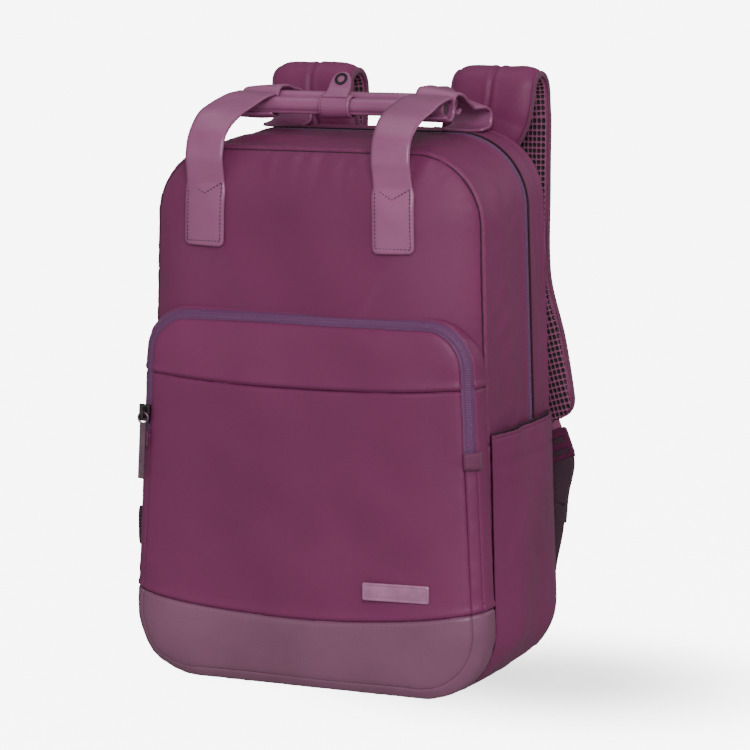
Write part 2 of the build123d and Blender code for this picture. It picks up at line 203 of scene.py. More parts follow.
# %% [markdown]
# ## Finishes
# Each finish is a small node tree: a base colour broken up by slow noise, a grain or weave as
# bump, and roughness that follows the same noise. Pieces that are swept along a line carry a
# map called "cloth", in metres, so that ribs and mesh holes run with the strap.

# %% Node helpers
def new_finish(name):
    """Material with an empty principled shader; returns the material, its tree and the shader."""
    material = bpy.data.materials.new(name)
    material.use_nodes = True
    tree = material.node_tree
    return material, tree, tree.nodes["Principled BSDF"]


def shades(tree, fac, dark, light, spread=(0.3, 0.7)):
    """Colour ramp between two shades."""
    ramp = tree.nodes.new("ShaderNodeValToRGB")
    ramp.color_ramp.elements[0].position = spread[0]
    ramp.color_ramp.elements[0].color = (*dark, 1)
    ramp.color_ramp.elements[1].position = spread[1]
    ramp.color_ramp.elements[1].color = (*light, 1)
    tree.links.new(fac, ramp.inputs["Fac"])
    return ramp.outputs["Color"]


def grey(tree, fac, from_low, from_high, to_low, to_high):
    """Map a grey value onto another range."""
    node = tree.nodes.new("ShaderNodeMapRange")
    limits = (from_low, from_high, to_low, to_high)
    for socket, value in zip(("From Min", "From Max", "To Min", "To Max"), limits):
        node.inputs[socket].default_value = value
    tree.links.new(fac, node.inputs["Value"])
    return node.outputs["Result"]


def bumps(tree, shader, *layers):
    """Stack bump layers (height output, distance in metres) onto the shader."""
    normal = None
    for height, distance in layers:
        node = tree.nodes.new("ShaderNodeBump")
        node.inputs["Distance"].default_value = distance
        node.inputs["Strength"].default_value = 1.0
        tree.links.new(height, node.inputs["Height"])
        if normal:
            tree.links.new(normal, node.inputs["Normal"])
        normal = node.outputs["Normal"]
    tree.links.new(normal, shader.inputs["Normal"])


def tinted(color, factor):
    return tuple(channel * factor for channel in color)


def dye(tree, shader, fac, color, darker, lighter, spread=(0.3, 0.7)):
    """Base colour that wanders between a darker and a lighter tint of one colour."""
    tint = shades(tree, fac, tinted(color, darker), tinted(color, lighter), spread)
    tree.links.new(tint, shader.inputs["Base Color"])


def wear(tree, shader, fac, smoothest, roughest, span=(0.2, 0.8)):
    """Roughness that follows a grey value; span is the part of its range that counts."""
    tree.links.new(grey(tree, fac, *span, smoothest, roughest), shader.inputs["Roughness"])


def place(tree, uv=False):
    """Coordinates: the piece's own space, or its map along the cloth."""
    if uv:
        node = tree.nodes.new("ShaderNodeUVMap")
        node.uv_map = "cloth"
        return node.outputs["UV"]
    return tree.nodes.new("ShaderNodeTexCoord").outputs["Object"]


def noise_map(tree, where, scale, detail=3.0, roughness=0.5):
    node = tree.nodes.new("ShaderNodeTexNoise")
    node.inputs["Scale"].default_value = scale
    node.inputs["Detail"].default_value = detail
    node.inputs["Roughness"].default_value = roughness
    tree.links.new(where, node.inputs["Vector"])
    return node.outputs["Fac"]


def ribs(tree, where, direction, period):
    """Sine ribs with the given period in metres, across X or Y of the coordinates."""
    node = tree.nodes.new("ShaderNodeTexWave")
    node.bands_direction = direction
    node.inputs["Scale"].default_value = math.pi / (10 * period)
    tree.links.new(where, node.inputs["Vector"])
    return node.outputs["Fac"]


# %% [markdown]
# Nylon taffeta is a tight plain weave with a satin surface. The weave is far finer than the
# folds, so it is bump; the slow colour change is the way the cloth takes dye.

# %% Nylon
def nylon_finish(name, color, roughness=0.47):
    material, tree, shader = new_finish(name)
    here = place(tree)
    slow = noise_map(tree, here, 7, 4)
    fine = noise_map(tree, here, 900, 2)
    dye(tree, shader, slow, color, 0.88, 1.1)
    wear(tree, shader, slow, roughness - 0.05, roughness + 0.05)
    mapped = place(tree, True)
    bumps(tree, shader, (slow, 0.0012), (fine, 0.00006),
          *((ribs(tree, mapped, direction, 0.0007), 0.00003) for direction in "XY"))
    shader.inputs["Sheen Weight"].default_value = 0.04
    shader.inputs["Sheen Roughness"].default_value = 0.35
    shader.inputs["Sheen Tint"].default_value = (0.9, 0.6, 0.8, 1)
    shader.inputs["Specular IOR Level"].default_value = 0.32
    return material


plum = (0.150, 0.021, 0.082)
nylon = nylon_finish("plum_nylon", plum)
# Dark lining cloth: real in the divider and organizer; laid as cords in seam grooves and as the side
# pockets' facings it is painted shade.
lining_and_shade = nylon_finish("dark_lining_and_shade", (0.032, 0.007, 0.020), roughness=0.7)


# %% [markdown]
# The coated leather has a pebble grain that catches the light in broad soft highlights. Cells
# of two sizes make the grain, and the roughness wanders a little where hands have polished it.

# %% Leather
def leather_finish(name, color, roughness=0.42):
    material, tree, shader = new_finish(name)
    here = place(tree)
    slow = noise_map(tree, here, 14, 4)
    cells = tree.nodes.new("ShaderNodeTexVoronoi")
    cells.feature = "DISTANCE_TO_EDGE"
    cells.inputs["Scale"].default_value = 850
    tree.links.new(here, cells.inputs["Vector"])
    pores = noise_map(tree, here, 420, 3, 0.6)
    dye(tree, shader, slow, color, 0.86, 1.12)
    wear(tree, shader, pores, roughness - 0.07, roughness + 0.08, (0.25, 0.75))
    bumps(tree, shader, (cells.outputs["Distance"], 0.00012), (pores, 0.00012), (slow, 0.0006))
    shader.inputs["Coat Weight"].default_value = 0.25
    shader.inputs["Coat Roughness"].default_value = 0.33
    return material


leather = leather_finish("plum_leather", (0.250, 0.072, 0.168), 0.36)
base_leather = leather_finish("base_leather", (0.175, 0.062, 0.118), 0.42)
dark_leather = leather_finish("strap_back_leather", (0.05, 0.02, 0.035), 0.6)


# %% [markdown]
# Zipper tape, webbing and thread are ribbed textiles. Metal and moulded plastic have almost no
# texture of their own, so faint brushing and mottling keep them from looking drawn.

# %% Tape, webbing, thread, metal, plastic
def ribbed_finish(name, color, period, depth, roughness=0.6, across="Y"):
    material, tree, shader = new_finish(name)
    mapped = place(tree, True)
    slow = noise_map(tree, place(tree), 30, 3)
    rib = ribs(tree, mapped, across, period)
    cross = ribs(tree, mapped, "X" if across == "Y" else "Y", period * 0.6)
    # The colour follows the ribs: darker in the grooves, painted shade, and lighter on the ridges,
    # painted highlight.
    dye(tree, shader, rib, color, 0.72, 1.12, (0.1, 0.8))
    wear(tree, shader, slow, roughness - 0.08, roughness + 0.08)
    bumps(tree, shader, (rib, depth), (cross, depth * 0.4))
    shader.inputs["Sheen Weight"].default_value = 0.08
    return material


def solid_finish(name, color, roughness, metallic=0.0, grain=160, depth=0.00004):
    material, tree, shader = new_finish(name)
    speckle = noise_map(tree, place(tree), grain, 4, 0.6)
    dye(tree, shader, speckle, color, 0.82, 1.15)
    wear(tree, shader, speckle, roughness - 0.06, roughness + 0.08)
    bumps(tree, shader, (speckle, depth))
    shader.inputs["Metallic"].default_value = metallic
    return material


violet_tape = ribbed_finish("violet_zip_tape", (0.115, 0.026, 0.108), 0.0008, 0.00004, 0.55)
dark_webbing = ribbed_finish("dark_webbing", (0.045, 0.014, 0.03), 0.0016, 0.0002, 0.7)
plum_webbing = ribbed_finish("plum_webbing", (0.21, 0.045, 0.12), 0.0014, 0.0002, 0.6)
binding = ribbed_finish("plum_binding", tinted(plum, 0.85), 0.0012, 0.0001, 0.65)
thread = solid_finish("plum_thread", (0.50, 0.26, 0.40), 0.6, grain=900)
dark_thread = solid_finish("dark_thread", (0.06, 0.02, 0.04), 0.6, grain=900)
gunmetal = solid_finish("gunmetal", (0.20, 0.165, 0.19), 0.3, 1.0, 220)
pull_metal = solid_finish("plum_enamelled_pull", (0.25, 0.15, 0.20), 0.34, 0.7, 220)
buckle_plastic = solid_finish("buckle_plastic", (0.085, 0.014, 0.048), 0.35)
tag_plate = solid_finish("pearl_plate", (0.50, 0.22, 0.38), 0.3, 0.45, 60, 0.00002)
board_plastic = solid_finish("board_plastic", (0.05, 0.05, 0.05), 0.6)
foam_cord = solid_finish("foam_cord", (0.07, 0.025, 0.045), 0.85, grain=700, depth=0.0002)


# %% [markdown]
# Air mesh is a knit with open cells in a staggered grid. The cells are dimples in the geometry,
# and the finish paints the same cells near black through the piece's map, so both always line
# up; the near black is painted shade inside the holes.

# %% Air mesh
CELL = (3.4, 4.6)          # pitch of the mesh's holes across and along, in millimetres


def air_mesh_finish():
    material, tree, shader = new_finish("air_mesh")
    mapped = place(tree, True)
    split = tree.nodes.new("ShaderNodeSeparateXYZ")
    tree.links.new(mapped, split.inputs[0])

    def cosine(socket, period):
        scale = tree.nodes.new("ShaderNodeMath")
        scale.operation = "MULTIPLY"
        scale.inputs[1].default_value = 2 * math.pi / (period * MM)
        tree.links.new(split.outputs[socket], scale.inputs[0])
        wave = tree.nodes.new("ShaderNodeMath")
        wave.operation = "COSINE"
        tree.links.new(scale.outputs[0], wave.inputs[0])
        return wave.outputs[0]

    cell = tree.nodes.new("ShaderNodeMath")
    cell.operation = "MULTIPLY"
    tree.links.new(cosine("X", CELL[0] * 2), cell.inputs[0])
    tree.links.new(cosine("Y", CELL[1] * 2), cell.inputs[1])
    hole_shade = tree.nodes.new("ShaderNodeMath")
    hole_shade.operation = "ABSOLUTE"
    tree.links.new(cell.outputs[0], hole_shade.inputs[0])
    # Open cells painted near black: painted shade inside the holes.
    tree.links.new(
        shades(tree, hole_shade.outputs[0], (0.20, 0.045, 0.115), (0.003, 0.001, 0.002), (0.22, 0.42)),
        shader.inputs["Base Color"],
    )
    yarn = noise_map(tree, place(tree), 1200, 2)
    bumps(tree, shader, (yarn, 0.0001))
    shader.inputs["Roughness"].default_value = 0.75
    shader.inputs["Sheen Weight"].default_value = 0.08
    return material


def mesh_dimples(across, along, depth=0.9):
    """How far the knit sinks at a place on its map: the open cells are the crossings of two waves."""
    cell = np.abs(np.cos(np.pi * across / CELL[0]) * np.cos(np.pi * along / CELL[1]))
    return depth * np.clip((cell - 0.4) / 0.35, 0, 1)


air_mesh = air_mesh_finish()
print(f"{len(bpy.data.materials)} finishes made")

# %% [markdown]
# ## Shapes that everything shares
# A cloth panel is a grid of points. The grid becomes a closed thin solid: a second layer is
# laid inside it and the rim is closed. Doing this by hand rather than with a modifier leaves
# a finished mesh.


def lay_map(mesh, flat):
    """Give each vertex its place on the flat cloth, in millimetres."""
    layer = mesh.uv_layers.new(name="cloth")
    corners = np.array([loop.vertex_index for loop in mesh.loops])
    layer.data.foreach_set("uv", (np.asarray(flat)[corners] * MM).astype(float).ravel())


def shade_smooth(mesh):
    mesh.polygons.foreach_set("use_smooth", [True] * len(mesh.polygons))


def vertex_table(mesh, kind="co"):
    """Places or normals of a mesh's vertices, as one array."""
    return np.array([getattr(vertex, kind)[:] for vertex in mesh.vertices])


def make(name, points, faces, finish, flat=None):
    """Mesh object from points in millimetres."""
    mesh = bpy.data.meshes.new(name)
    mesh.from_pydata([tuple(point) for point in np.asarray(points) * MM], [], faces)
    if flat is not None:
        lay_map(mesh, flat)
    piece = bpy.data.objects.new(name, mesh)
    bpy.context.scene.collection.objects.link(piece)
    mesh.materials.append(finish)
    shade_smooth(mesh)
    fix = bmesh.new()
    fix.from_mesh(mesh)
    bmesh.ops.remove_doubles(fix, verts=fix.verts, dist=1e-7)
    bmesh.ops.dissolve_degenerate(fix, edges=fix.edges, dist=1e-7)
    bmesh.ops.recalc_face_normals(fix, faces=fix.faces)
    fix.to_mesh(mesh)
    fix.free()
    return piece


def grid_faces(rows, columns, wrap=False, start=0):
    """Quads of a grid whose rows follow each other in memory."""
    faces = []
    last = columns if wrap else columns - 1
    for row in range(rows - 1):
        for column in range(last):
            right = (column + 1) % columns
            a = start + row * columns
            faces.append((a + column, a + right, a + columns + right, a + columns + column))
    return faces


def grid_normals(grid, wrap=False):
    """Unit normals of a grid of points, outwards for a grid that runs anticlockwise."""
    if wrap:
        padded = np.concatenate((grid[:, -1:], grid, grid[:, :1]), axis=1)
        across = np.gradient(padded, axis=1)[:, 1:-1]
    else:
        across = np.gradient(grid, axis=1)
    along = np.gradient(grid, axis=0)
    normal = np.cross(along, across)
    length = np.linalg.norm(normal, axis=2, keepdims=True)
    normal = normal / np.maximum(length, 1e-9)
    if length[-1].max() < 1e-6:        # the rings of a pillow end in one point
        normal[-1] = normal[-2].mean(axis=0)
    return normal


def grid_map(grid):
    """Distance across and along each grid line, as a flat map in millimetres."""
    across = np.linalg.norm(np.diff(grid, axis=1), axis=2).cumsum(axis=1)
    along = np.linalg.norm(np.diff(grid, axis=0), axis=2).cumsum(axis=0)
    across = np.concatenate((np.zeros((grid.shape[0], 1)), across), axis=1)
    along = np.concatenate((np.zeros((1, grid.shape[1])), along), axis=0)
    return np.stack((across, along), axis=2)


def panel(name, grid, finish, thick=2.0, wrap=False, side=1, flat=None):
    """Cloth panel: the grid and a second layer inside it, closed round the rim.

    side is -1 for a grid that runs clockwise, whose own normals point inwards.
    """
    rows, columns = grid.shape[:2]
    inner = grid - grid_normals(grid, wrap) * thick * side
    points = np.concatenate((grid.reshape(-1, 3), inner.reshape(-1, 3)))
    count = rows * columns
    faces = grid_faces(rows, columns, wrap)
    faces += [tuple(reversed(face)) for face in grid_faces(rows, columns, wrap, count)]
    last = columns if wrap else columns - 1
    for row in (0, rows - 1):
        for column in range(last):
            a = row * columns + column
            b = row * columns + (column + 1) % columns
            faces.append((a, b, b + count, a + count))
    if not wrap:
        for column in (0, columns - 1):
            for row in range(rows - 1):
                a = row * columns + column
                b = a + columns
                faces.append((a, b, b + count, a + count))
    flat = (grid_map(grid) if flat is None else flat).reshape(-1, 2)
    return make(name, points, faces, finish, np.concatenate((flat, flat)))


# %% Tubes
def tube_faces(rings, count, closed=False, start=0):
    """Faces of a tube of rings with count points each, capped or joined end to end."""
    faces = grid_faces(rings, count, wrap=True, start=start)
    last = start + (rings - 1) * count
    if closed:
        return faces + [(last + i, last + (i + 1) % count, start + (i + 1) % count, start + i)
                        for i in range(count)]
    return faces + [tuple(range(start, start + count))[::-1], tuple(range(last, last + count))]


def tube(name, grid, finish, closed=False):
    """Tube through rings of points, with a map that runs along it."""
    faces = tube_faces(*grid.shape[:2], closed)
    return make(name, grid.reshape(-1, 3), faces, finish, grid_map(grid).reshape(-1, 2))


# %% Cloth sheets
def one_side(piece):
    """Area of one side of a thin closed panel, in square metres."""
    return sum(face.area for face in piece.data.polygons) / 2


def cut_size(grid):
    """Width and length a gridded panel is cut to: its longest lines each way, in metres."""
    width = np.linalg.norm(np.diff(grid, axis=0), axis=2).sum(axis=0).max()
    length = np.linalg.norm(np.diff(grid, axis=1), axis=2).sum(axis=1).max()
    return width * MM, length * MM


def cloth_sheet(piece, flat=None):
    """Print the size a thin closed panel is cut to; without flat, the cut is its spread plus its
    depth.
    """
    if flat is None:
        points = vertex_table(piece.data)
        width, depth, height = points.max(axis=0) - points.min(axis=0)
        flat = (width + depth, height + depth)
    print(f"{piece.name}: cut {flat[0] * 1000:.0f} x {flat[1] * 1000:.0f} mm")


# %% [markdown]
# Slow ripples make the cloth look sewn and filled rather than moulded. They are sums of sine
# waves in fixed random directions, drawn once from a seeded generator.

# %% Ripples
dice = np.random.default_rng(11)


def ripple(points, size, waves=9):
    """Smooth random field between about -1 and 1 whose features are size millimetres wide."""
    total = np.zeros(points.shape[:-1])
    for _ in range(waves):
        heading = dice.normal(size=3)
        heading = heading / np.linalg.norm(heading) * 2 * math.pi / size
        total += np.sin(points @ heading + dice.uniform(0, 2 * math.pi))
    return total / math.sqrt(waves * 1.5)


# %% [markdown]
# The bag's outline seen from the front is an arch: wide at the foot, narrower at the head, with
# four round corners. Both the body and the pocket use it, so it is one function that returns
# the same number of points for every size; panels are cut from it by index.

# %% The arch outline
COUNTS = (22, 24, 46, 46, 26, 34)      # bottom, foot corner, low side, high side, head corner, top
MARKS = np.concatenate(((0,), np.cumsum(COUNTS)))
HALF = int(MARKS[-1])


def unit(vector):
    return vector / np.linalg.norm(vector)


def units(vectors):
    """Rows of vectors, each at length 1."""
    return vectors / np.linalg.norm(vectors, axis=-1, keepdims=True)


def corner_arc(corner, before, after, radius, count):
    """Points of the round that replaces a corner."""
    back, ahead = unit(before - corner), unit(after - corner)
    half = math.acos(float(back @ ahead)) / 2
    centre = corner + unit(back + ahead) * radius / math.sin(half)
    reach = radius / math.tan(half)
    first = corner + back * reach - centre
    last = corner + ahead * reach - centre
    start = math.atan2(first[1], first[0])
    sweep = (math.atan2(last[1], last[0]) - start + math.pi) % (2 * math.pi) - math.pi
    turn = start + sweep * np.linspace(0, 1, count + 1)
    return centre + radius * np.stack((np.cos(turn), np.sin(turn)), axis=1)


def straight(first, last, count):
    """Points from first to last in equal steps."""
    return first + (last - first) * np.linspace(0, 1, count + 1)[:, None]


def arch(halves, bottom, top, foot_radius, head_radius, split):
    """Closed outline (x, z) from the bottom's middle, up the right side and down the left."""
    foot_middle, head_middle = np.array((0.0, bottom)), np.array((0.0, top))
    foot, head = np.array((halves[0], bottom)), np.array((halves[1], top))
    low_arc = corner_arc(foot, foot_middle, head, foot_radius, COUNTS[1])
    high_arc = corner_arc(head, foot, head_middle, head_radius, COUNTS[4])
    share = (split - low_arc[-1][1]) / (high_arc[0][1] - low_arc[-1][1])
    cut = low_arc[-1] + (high_arc[0] - low_arc[-1]) * share
    runs = (
        straight(foot_middle, low_arc[0], COUNTS[0]), low_arc,
        straight(low_arc[-1], cut, COUNTS[2]), straight(cut, high_arc[0], COUNTS[3]),
        high_arc, straight(high_arc[-1], head_middle, COUNTS[5]),
    )
    right = np.concatenate([run[:-1] for run in runs] + [head_middle[None]])
    left = right[-2:0:-1] * (-1, 1)
    return np.concatenate((right, left))


def at_depth(outline, y):
    """Put a flat outline (x, z) at depth y."""
    return np.stack((outline[:, 0], np.full(len(outline), y), outline[:, 1]), axis=1)


front_half, rear_half = (143.0, 132.0), (140.0, 124.0)
foot_radius, head_radius = 58.0, 54.0


def body_outline(y, inset=0.0):
    """The body's outline at depth y, moved in by inset."""
    share = (y - front_y) / (rear_y - front_y)
    foot = front_half[0] + (rear_half[0] - front_half[0]) * share - inset
    head = front_half[1] + (rear_half[1] - front_half[1]) * share - inset
    top = front_top + (rear_top - front_top) * share - inset
    return arch(
        (foot, head), body_low + inset, top, foot_radius - inset, head_radius - inset, zip_end
    )


# %% [markdown]
# ## Body walls
# The walls are one tube between the front and the rear seam, cut into panels: the two side
# walls, the bottom, and over the top a front strip, the zipper and a rear strip. At each seam
# the cloth is turned under, which gives the rounded lip and the groove beside it. The groove
# at the front seam and the one behind the zipper hold near-black cords: painted shade. The
# lip is a row-by-row offset of the outline, so it follows every corner.

# %% Wall profile
def hump(value, centre, width):
    """Smooth bell of height 1."""
    return math.exp(-((value - centre) / width) ** 2)


def wall_offset(y, upper):
    """How far the wall stands out of the plain outline at depth y."""
    depth = (y - front_y) / (rear_y - front_y)
    out = 2.6 * math.sin(math.pi * min(max(depth, 0), 1))
    out += 1.5 * hump(y, front_y + 1.6, 2.0) - 2.4 * hump(y, front_y - 1.4, 1.1)
    out += 1.2 * hump(y, rear_y - 1.4, 1.8) - 2.2 * hump(y, rear_y + 1.4, 1.0)
    if upper:
        out += 0.9 * hump(y, zip_band[0] - 1.6, 1.6) + 1.3 * hump(y, zip_band[1] + 1.6, 1.8)
        out -= 1.8 * hump(y, zip_band[0] + 0.6, 0.9) + 2.6 * hump(y, zip_band[1] - 0.4, 1.0)
    return out


def seam_puckers(points, distance, size, depth=0.35, reach=9.0):
    """Small gathers that die away with distance from a seam."""
    return depth * ripple(points, size) * np.exp(-distance / reach)


def wall_grid(ys, upper):
    """Rows of outline points for the given depths."""
    rows = [at_depth(body_outline(y, -wall_offset(y, upper)), y) for y in ys]
    grid = np.stack(rows)
    normal = grid_normals(grid, wrap=True)
    depth = grid[:, :, 1]
    distance = np.minimum(depth - front_y, rear_y - depth)
    if upper:
        distance = np.minimum(distance, np.abs(depth - sum(zip_band) / 2) - 4)
    push = seam_puckers(grid, np.maximum(distance, 0), 7)
    fade = np.clip((distance - 2) / 20, 0, 1)
    push += 0.9 * ripple(grid * (0.45, 1.0, 0.45), 40) * fade + 0.45 * ripple(grid, 19) * fade
    if upper:
        for pinch_y, pinch_z in ((zip_band[1] + 17, 345), (zip_band[1] + 23, 330)):
            near = np.exp(-((grid[:, :, 2] - pinch_z) / 26) ** 2)
            push -= 1.8 * np.exp(-((depth - pinch_y) / 1.7) ** 2) * near
    return grid + normal * push[:, :, None]


def spread(*stops):
    """Depths from stop to stop; each stop is (depth, number of steps that lead to it)."""
    values = [stops[0][0]]
    for (start, _), (end, steps) in zip(stops, stops[1:]):
        values += list(np.linspace(start, end, steps + 1)[1:])
    return values


lip_front = ((front_y - 1.0, 0), (front_y + 6, 9))
lip_rear = ((rear_y - 6, 12), (rear_y + 1.0, 8))
plain_ys = spread(*lip_front, (rear_y - 6, 34), (rear_y + 1.0, 8))
front_ys = spread(*lip_front, (zip_band[0] - 5, 20), (zip_band[0] + 0.8, 8))
rear_ys = spread((zip_band[1] - 0.8, 0), (zip_band[1] + 6, 9), *lip_rear)


# %% Wall panels
def ring_slice(grid, first, last):
    """Columns first to last of a closed grid, going round its end if need be."""
    return grid[:, np.arange(first, last + 1) % grid.shape[1]]


low_side, split_side = int(MARKS[2]), int(MARKS[3])
turns = 2 * HALF
plain_walls = wall_grid(plain_ys, upper=False)
for name, first, last in (
    ("side_wall_right", low_side, split_side),
    ("side_wall_left", turns - split_side, turns - low_side),
    ("bottom_gusset", turns - low_side, turns + low_side),
):
    wall = ring_slice(plain_walls, first, last)
    if name == "bottom_gusset":            # its front lip tucks up behind the leather
        tuck = np.exp(-((wall[:, :, 1] - front_y) / 7) ** 2)
        foot = np.clip((14 - wall[:, :, 2]) / 10, 0, 1)
        wall = wall + np.stack((tuck * 0, tuck * 2.5, tuck * foot * 3.2), axis=2)
    piece = panel(f"{name}_cloth", wall, nylon)
    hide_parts(name)
    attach(piece, "bag")
    cloth_sheet(piece, cut_size(wall))
over_top = (split_side, turns - split_side)
for name, ys in (("front_gusset", front_ys), ("rear_gusset", rear_ys)):
    wall = ring_slice(wall_grid(ys, upper=True), *over_top)
    piece = panel(f"{name}_cloth", wall, nylon)
    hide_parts(name)
    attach(piece, "bag")
    cloth_sheet(piece, cut_size(wall))

# %% [markdown]
# ## Zippers
# Both zippers are reverse coils: the tape's smooth side shows, with the coil's ribs pressing
# through. The band is a sweep along the outline, with a rib every two millimetres.

# %% The ribbed band
RIB = 1.9                                  # pitch of the coil, in millimetres


def line_length(points):
    """Distance along a line at each of its points."""
    return np.concatenate(((0,), np.linalg.norm(np.diff(points, axis=0), axis=1).cumsum()))


def read_off(values, marks, places):
    """Rows of values, which stand at marks, read off at other places."""
    return np.stack([np.interp(places, marks, column) for column in values.T], axis=1)


def resample(points, step):
    """Evenly spaced points along a line, with their distance along it."""
    lengths = line_length(points)
    count = max(int(lengths[-1] / step), 2)
    places = np.linspace(0, lengths[-1], count + 1)
    return read_off(points, lengths, places), places


def zipper_band(name, left_edge, right_edge, rise):
    """Ribbed tape between two edges; rise is the unit direction away from the bag."""
    left, places = resample(left_edge, RIB / 4)
    lengths = line_length(right_edge)
    right = read_off(right_edge, lengths, places / places[-1] * lengths[-1])
    steps = np.linspace(0, len(left_edge) - 1, len(left))
    out = read_off(rise, np.arange(len(left_edge)), steps)
    rows = []
    for across in np.linspace(0, 1, 15):
        crown = 1.5 * math.exp(-((across - 0.5) / 0.27) ** 4)
        groove = 0.5 * math.exp(-((across - 0.5) / 0.035) ** 2)
        phase = 2 * math.pi * places / RIB + (math.pi if across > 0.5 else 0)
        rib = 0.22 * crown * np.sin(phase)
        height = crown - groove + rib - 0.5
        rows.append(left + (right - left) * across + out * height[:, None])
    return panel(name, np.stack(rows)[::-1], violet_tape, 1.0)


# %% Main zipper
def away_from_bag(tangent):
    """Directions square to a line that runs round the bag in an XZ plane."""
    return np.stack((tangent[:, 2], np.zeros(len(tangent)), -tangent[:, 0]), axis=1)


def zip_edge(y):
    """Edge of the zipper's gap over the top of the bag, at depth y."""
    ring = at_depth(body_outline(y, -wall_offset(sum(zip_band) / 2, upper=False) + 1.0), y)
    return ring[over_top[0]:over_top[1] + 1]


front_edge, back_edge = zip_edge(zip_band[0] - 1.0), zip_edge(zip_band[1] + 1.0)
outward = units(away_from_bag(np.gradient(front_edge, axis=0)))
main_zip = zipper_band("main_zipper_coil", front_edge, back_edge, outward)
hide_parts("main_zipper")
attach(main_zip, "bag")


# %% Cords along seams; the dark ones in grooves are painted shade
def cord(name, path, radii, finish, closed=False):
    """Round cord on a path that lies in an XZ plane; radii are (in the plane, along Y)."""
    if closed:
        path = np.concatenate((path[-1:], path, path[:1]))
    out = away_from_bag(units(np.gradient(path, axis=0)))
    angles = np.linspace(0, 2 * math.pi, 12, endpoint=False)
    grid = (path[:, None] + out[:, None] * (radii[0] * np.cos(angles))[None, :, None]
            + np.array((0, radii[1], 0)) * np.sin(angles)[None, :, None])
    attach(tube(name, grid[1:-1] if closed else grid, finish, closed), "bag")


# Near-black cord in the groove behind the zipper: painted shade.
shade_cord_y = zip_band[1] + 0.5
shade_cord_line = body_outline(shade_cord_y, -wall_offset(zip_band[1] + 1.5, upper=True) + 0.2)
cord("main_zipper_shade_cord", at_depth(shade_cord_line, shade_cord_y)[over_top[0]:over_top[1] + 1],
     (0.8, 0.7), lining_and_shade)

# %% [markdown]
# ## Front panel
# The front of the body is a pillow. Rings of the outline move in and forwards: the first few
# are true offsets, which keep the seam's lip even all the way round, and the rest shrink
# towards the middle.

# %% Pillows from rings
MIDDLE_RINGS = 16                          # rings between the last true offset and the middle
TIGHTEST = 12                              # smallest corner radius of a ring, in millimetres


def pillow(halves, bottom, top, radii, rings, split, depth):
    """Grid of rings from the edge to the middle; rings are (inset, y) and depth is y there."""
    rows = []
    for inset, y in rings:
        sizes = (halves[0] - inset, halves[1] - inset)
        rows.append(at_depth(arch(
            sizes, bottom + inset, top - inset, max(radii[0] - inset, TIGHTEST),
            max(radii[1] - inset, TIGHTEST), split,
        ), y))
    last_y = rings[-1][1]
    centre = np.array((0.0, 0.0, (bottom + top) / 2))
    edge = rows[-1] * (1, 0, 1)
    for share in np.linspace(0, 1, MIDDLE_RINGS + 1)[1:]:
        y = last_y + (depth - last_y) * (1 - (1 - share) ** 2.2)
        row = centre + (edge - centre) * (1 - share)
        row[:, 1] = y
        rows.append(row)
    return np.stack(rows)


front_rings = (
    (2.2, front_y + 2), (1.4, front_y + 0.2), (1.6, front_y - 2), (3.0, front_y - 4.6),
    (5.2, front_y - 6.6), (8.5, front_y - 9), (13, front_y - 11.6), (20, front_y - 14),
    (28, front_y - 15.8), (38, front_y - 17.2), (50, front_y - 18.2),
)
front_grid = pillow(
    front_half, body_low, front_top, (foot_radius, head_radius), front_rings, zip_end,
    front_y - 21,
)
edge_distance = np.array([inset for inset, _ in front_rings] + [60.0] * MIDDLE_RINGS)[:, None]
push = seam_puckers(front_grid, edge_distance, 9, 0.7, 10)
gather = np.clip((front_grid[:, :, 2] - (front_top - 40)) / 30, 0, 1)
push += 1.3 * ripple(front_grid * (1, 0, 0.25), 15) * np.exp(-edge_distance / 15) * gather
push += 1.5 * ripple(front_grid, 70) * np.clip(edge_distance / 40, 0, 1)
front_grid = front_grid - np.array((0, 1, 0)) * push[:, :, None]
front_cloth = panel("front_panel_cloth", front_grid, nylon, 2.0, wrap=True, side=-1)
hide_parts("front_panel")
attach(front_cloth, "bag")
cloth_sheet(front_cloth)
# Near-black cord in the groove inside the front seam: painted shade.
cord("front_seam_shade_cord", front_grid[2] + np.array((0, 0.6, 0)), (0.7, 0.7), lining_and_shade, closed=True)

# %% [markdown]
# ## Back panel
# The back is the same pillow turned round, flatter, because a foam sheet stiffens it.

# %% Back panel
back_y = high("back_panel")[1]
back_rings = (
    (2.4, rear_y - 1), (1.2, rear_y + 0.8), (0.2, rear_y + 2.6), (0.4, rear_y + 5.4),
    (2.0, rear_y + 8.0), (4.6, back_y - 0.6), (9, back_y), (20, back_y), (40, back_y),
)
back_grid = pillow(
    rear_half, body_low, rear_top, (foot_radius, head_radius), back_rings, zip_end, back_y
)
push = 0.25 * ripple(back_grid, 40)
back_grid = back_grid + np.array((0, 1, 0)) * push[:, :, None]
back_cloth = panel("back_panel_cloth", back_grid, nylon, 3.0, wrap=True)
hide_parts("back_panel")
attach(back_cloth, "bag")
cloth_sheet(back_cloth)
print("pillows", len(front_grid), len(back_grid), "rings")

# %% [markdown]
# ## Front pocket
# The pocket is one skin over the whole lower front: a short wall, a rounded corner that the
# zipper runs along, and a crowned face. It is made as one grid, so its pieces meet exactly,
# and then cut along the sewn lines. A sewn line is curved, so the skin is sheared until the
# line is level, cut with a plane, and sheared back.

# %% Pocket skin
pocket_half = (149.0, 135.0)
pocket_low = low("base_trim")[2]
pocket_high = high("pocket_gusset")[2]
pocket_radii = (54.0, 38.0)
pocket_split = low("pocket_zipper")[2]
zip_inset = (2.0, 9.5)
pocket_front = low("pocket_face")[1]

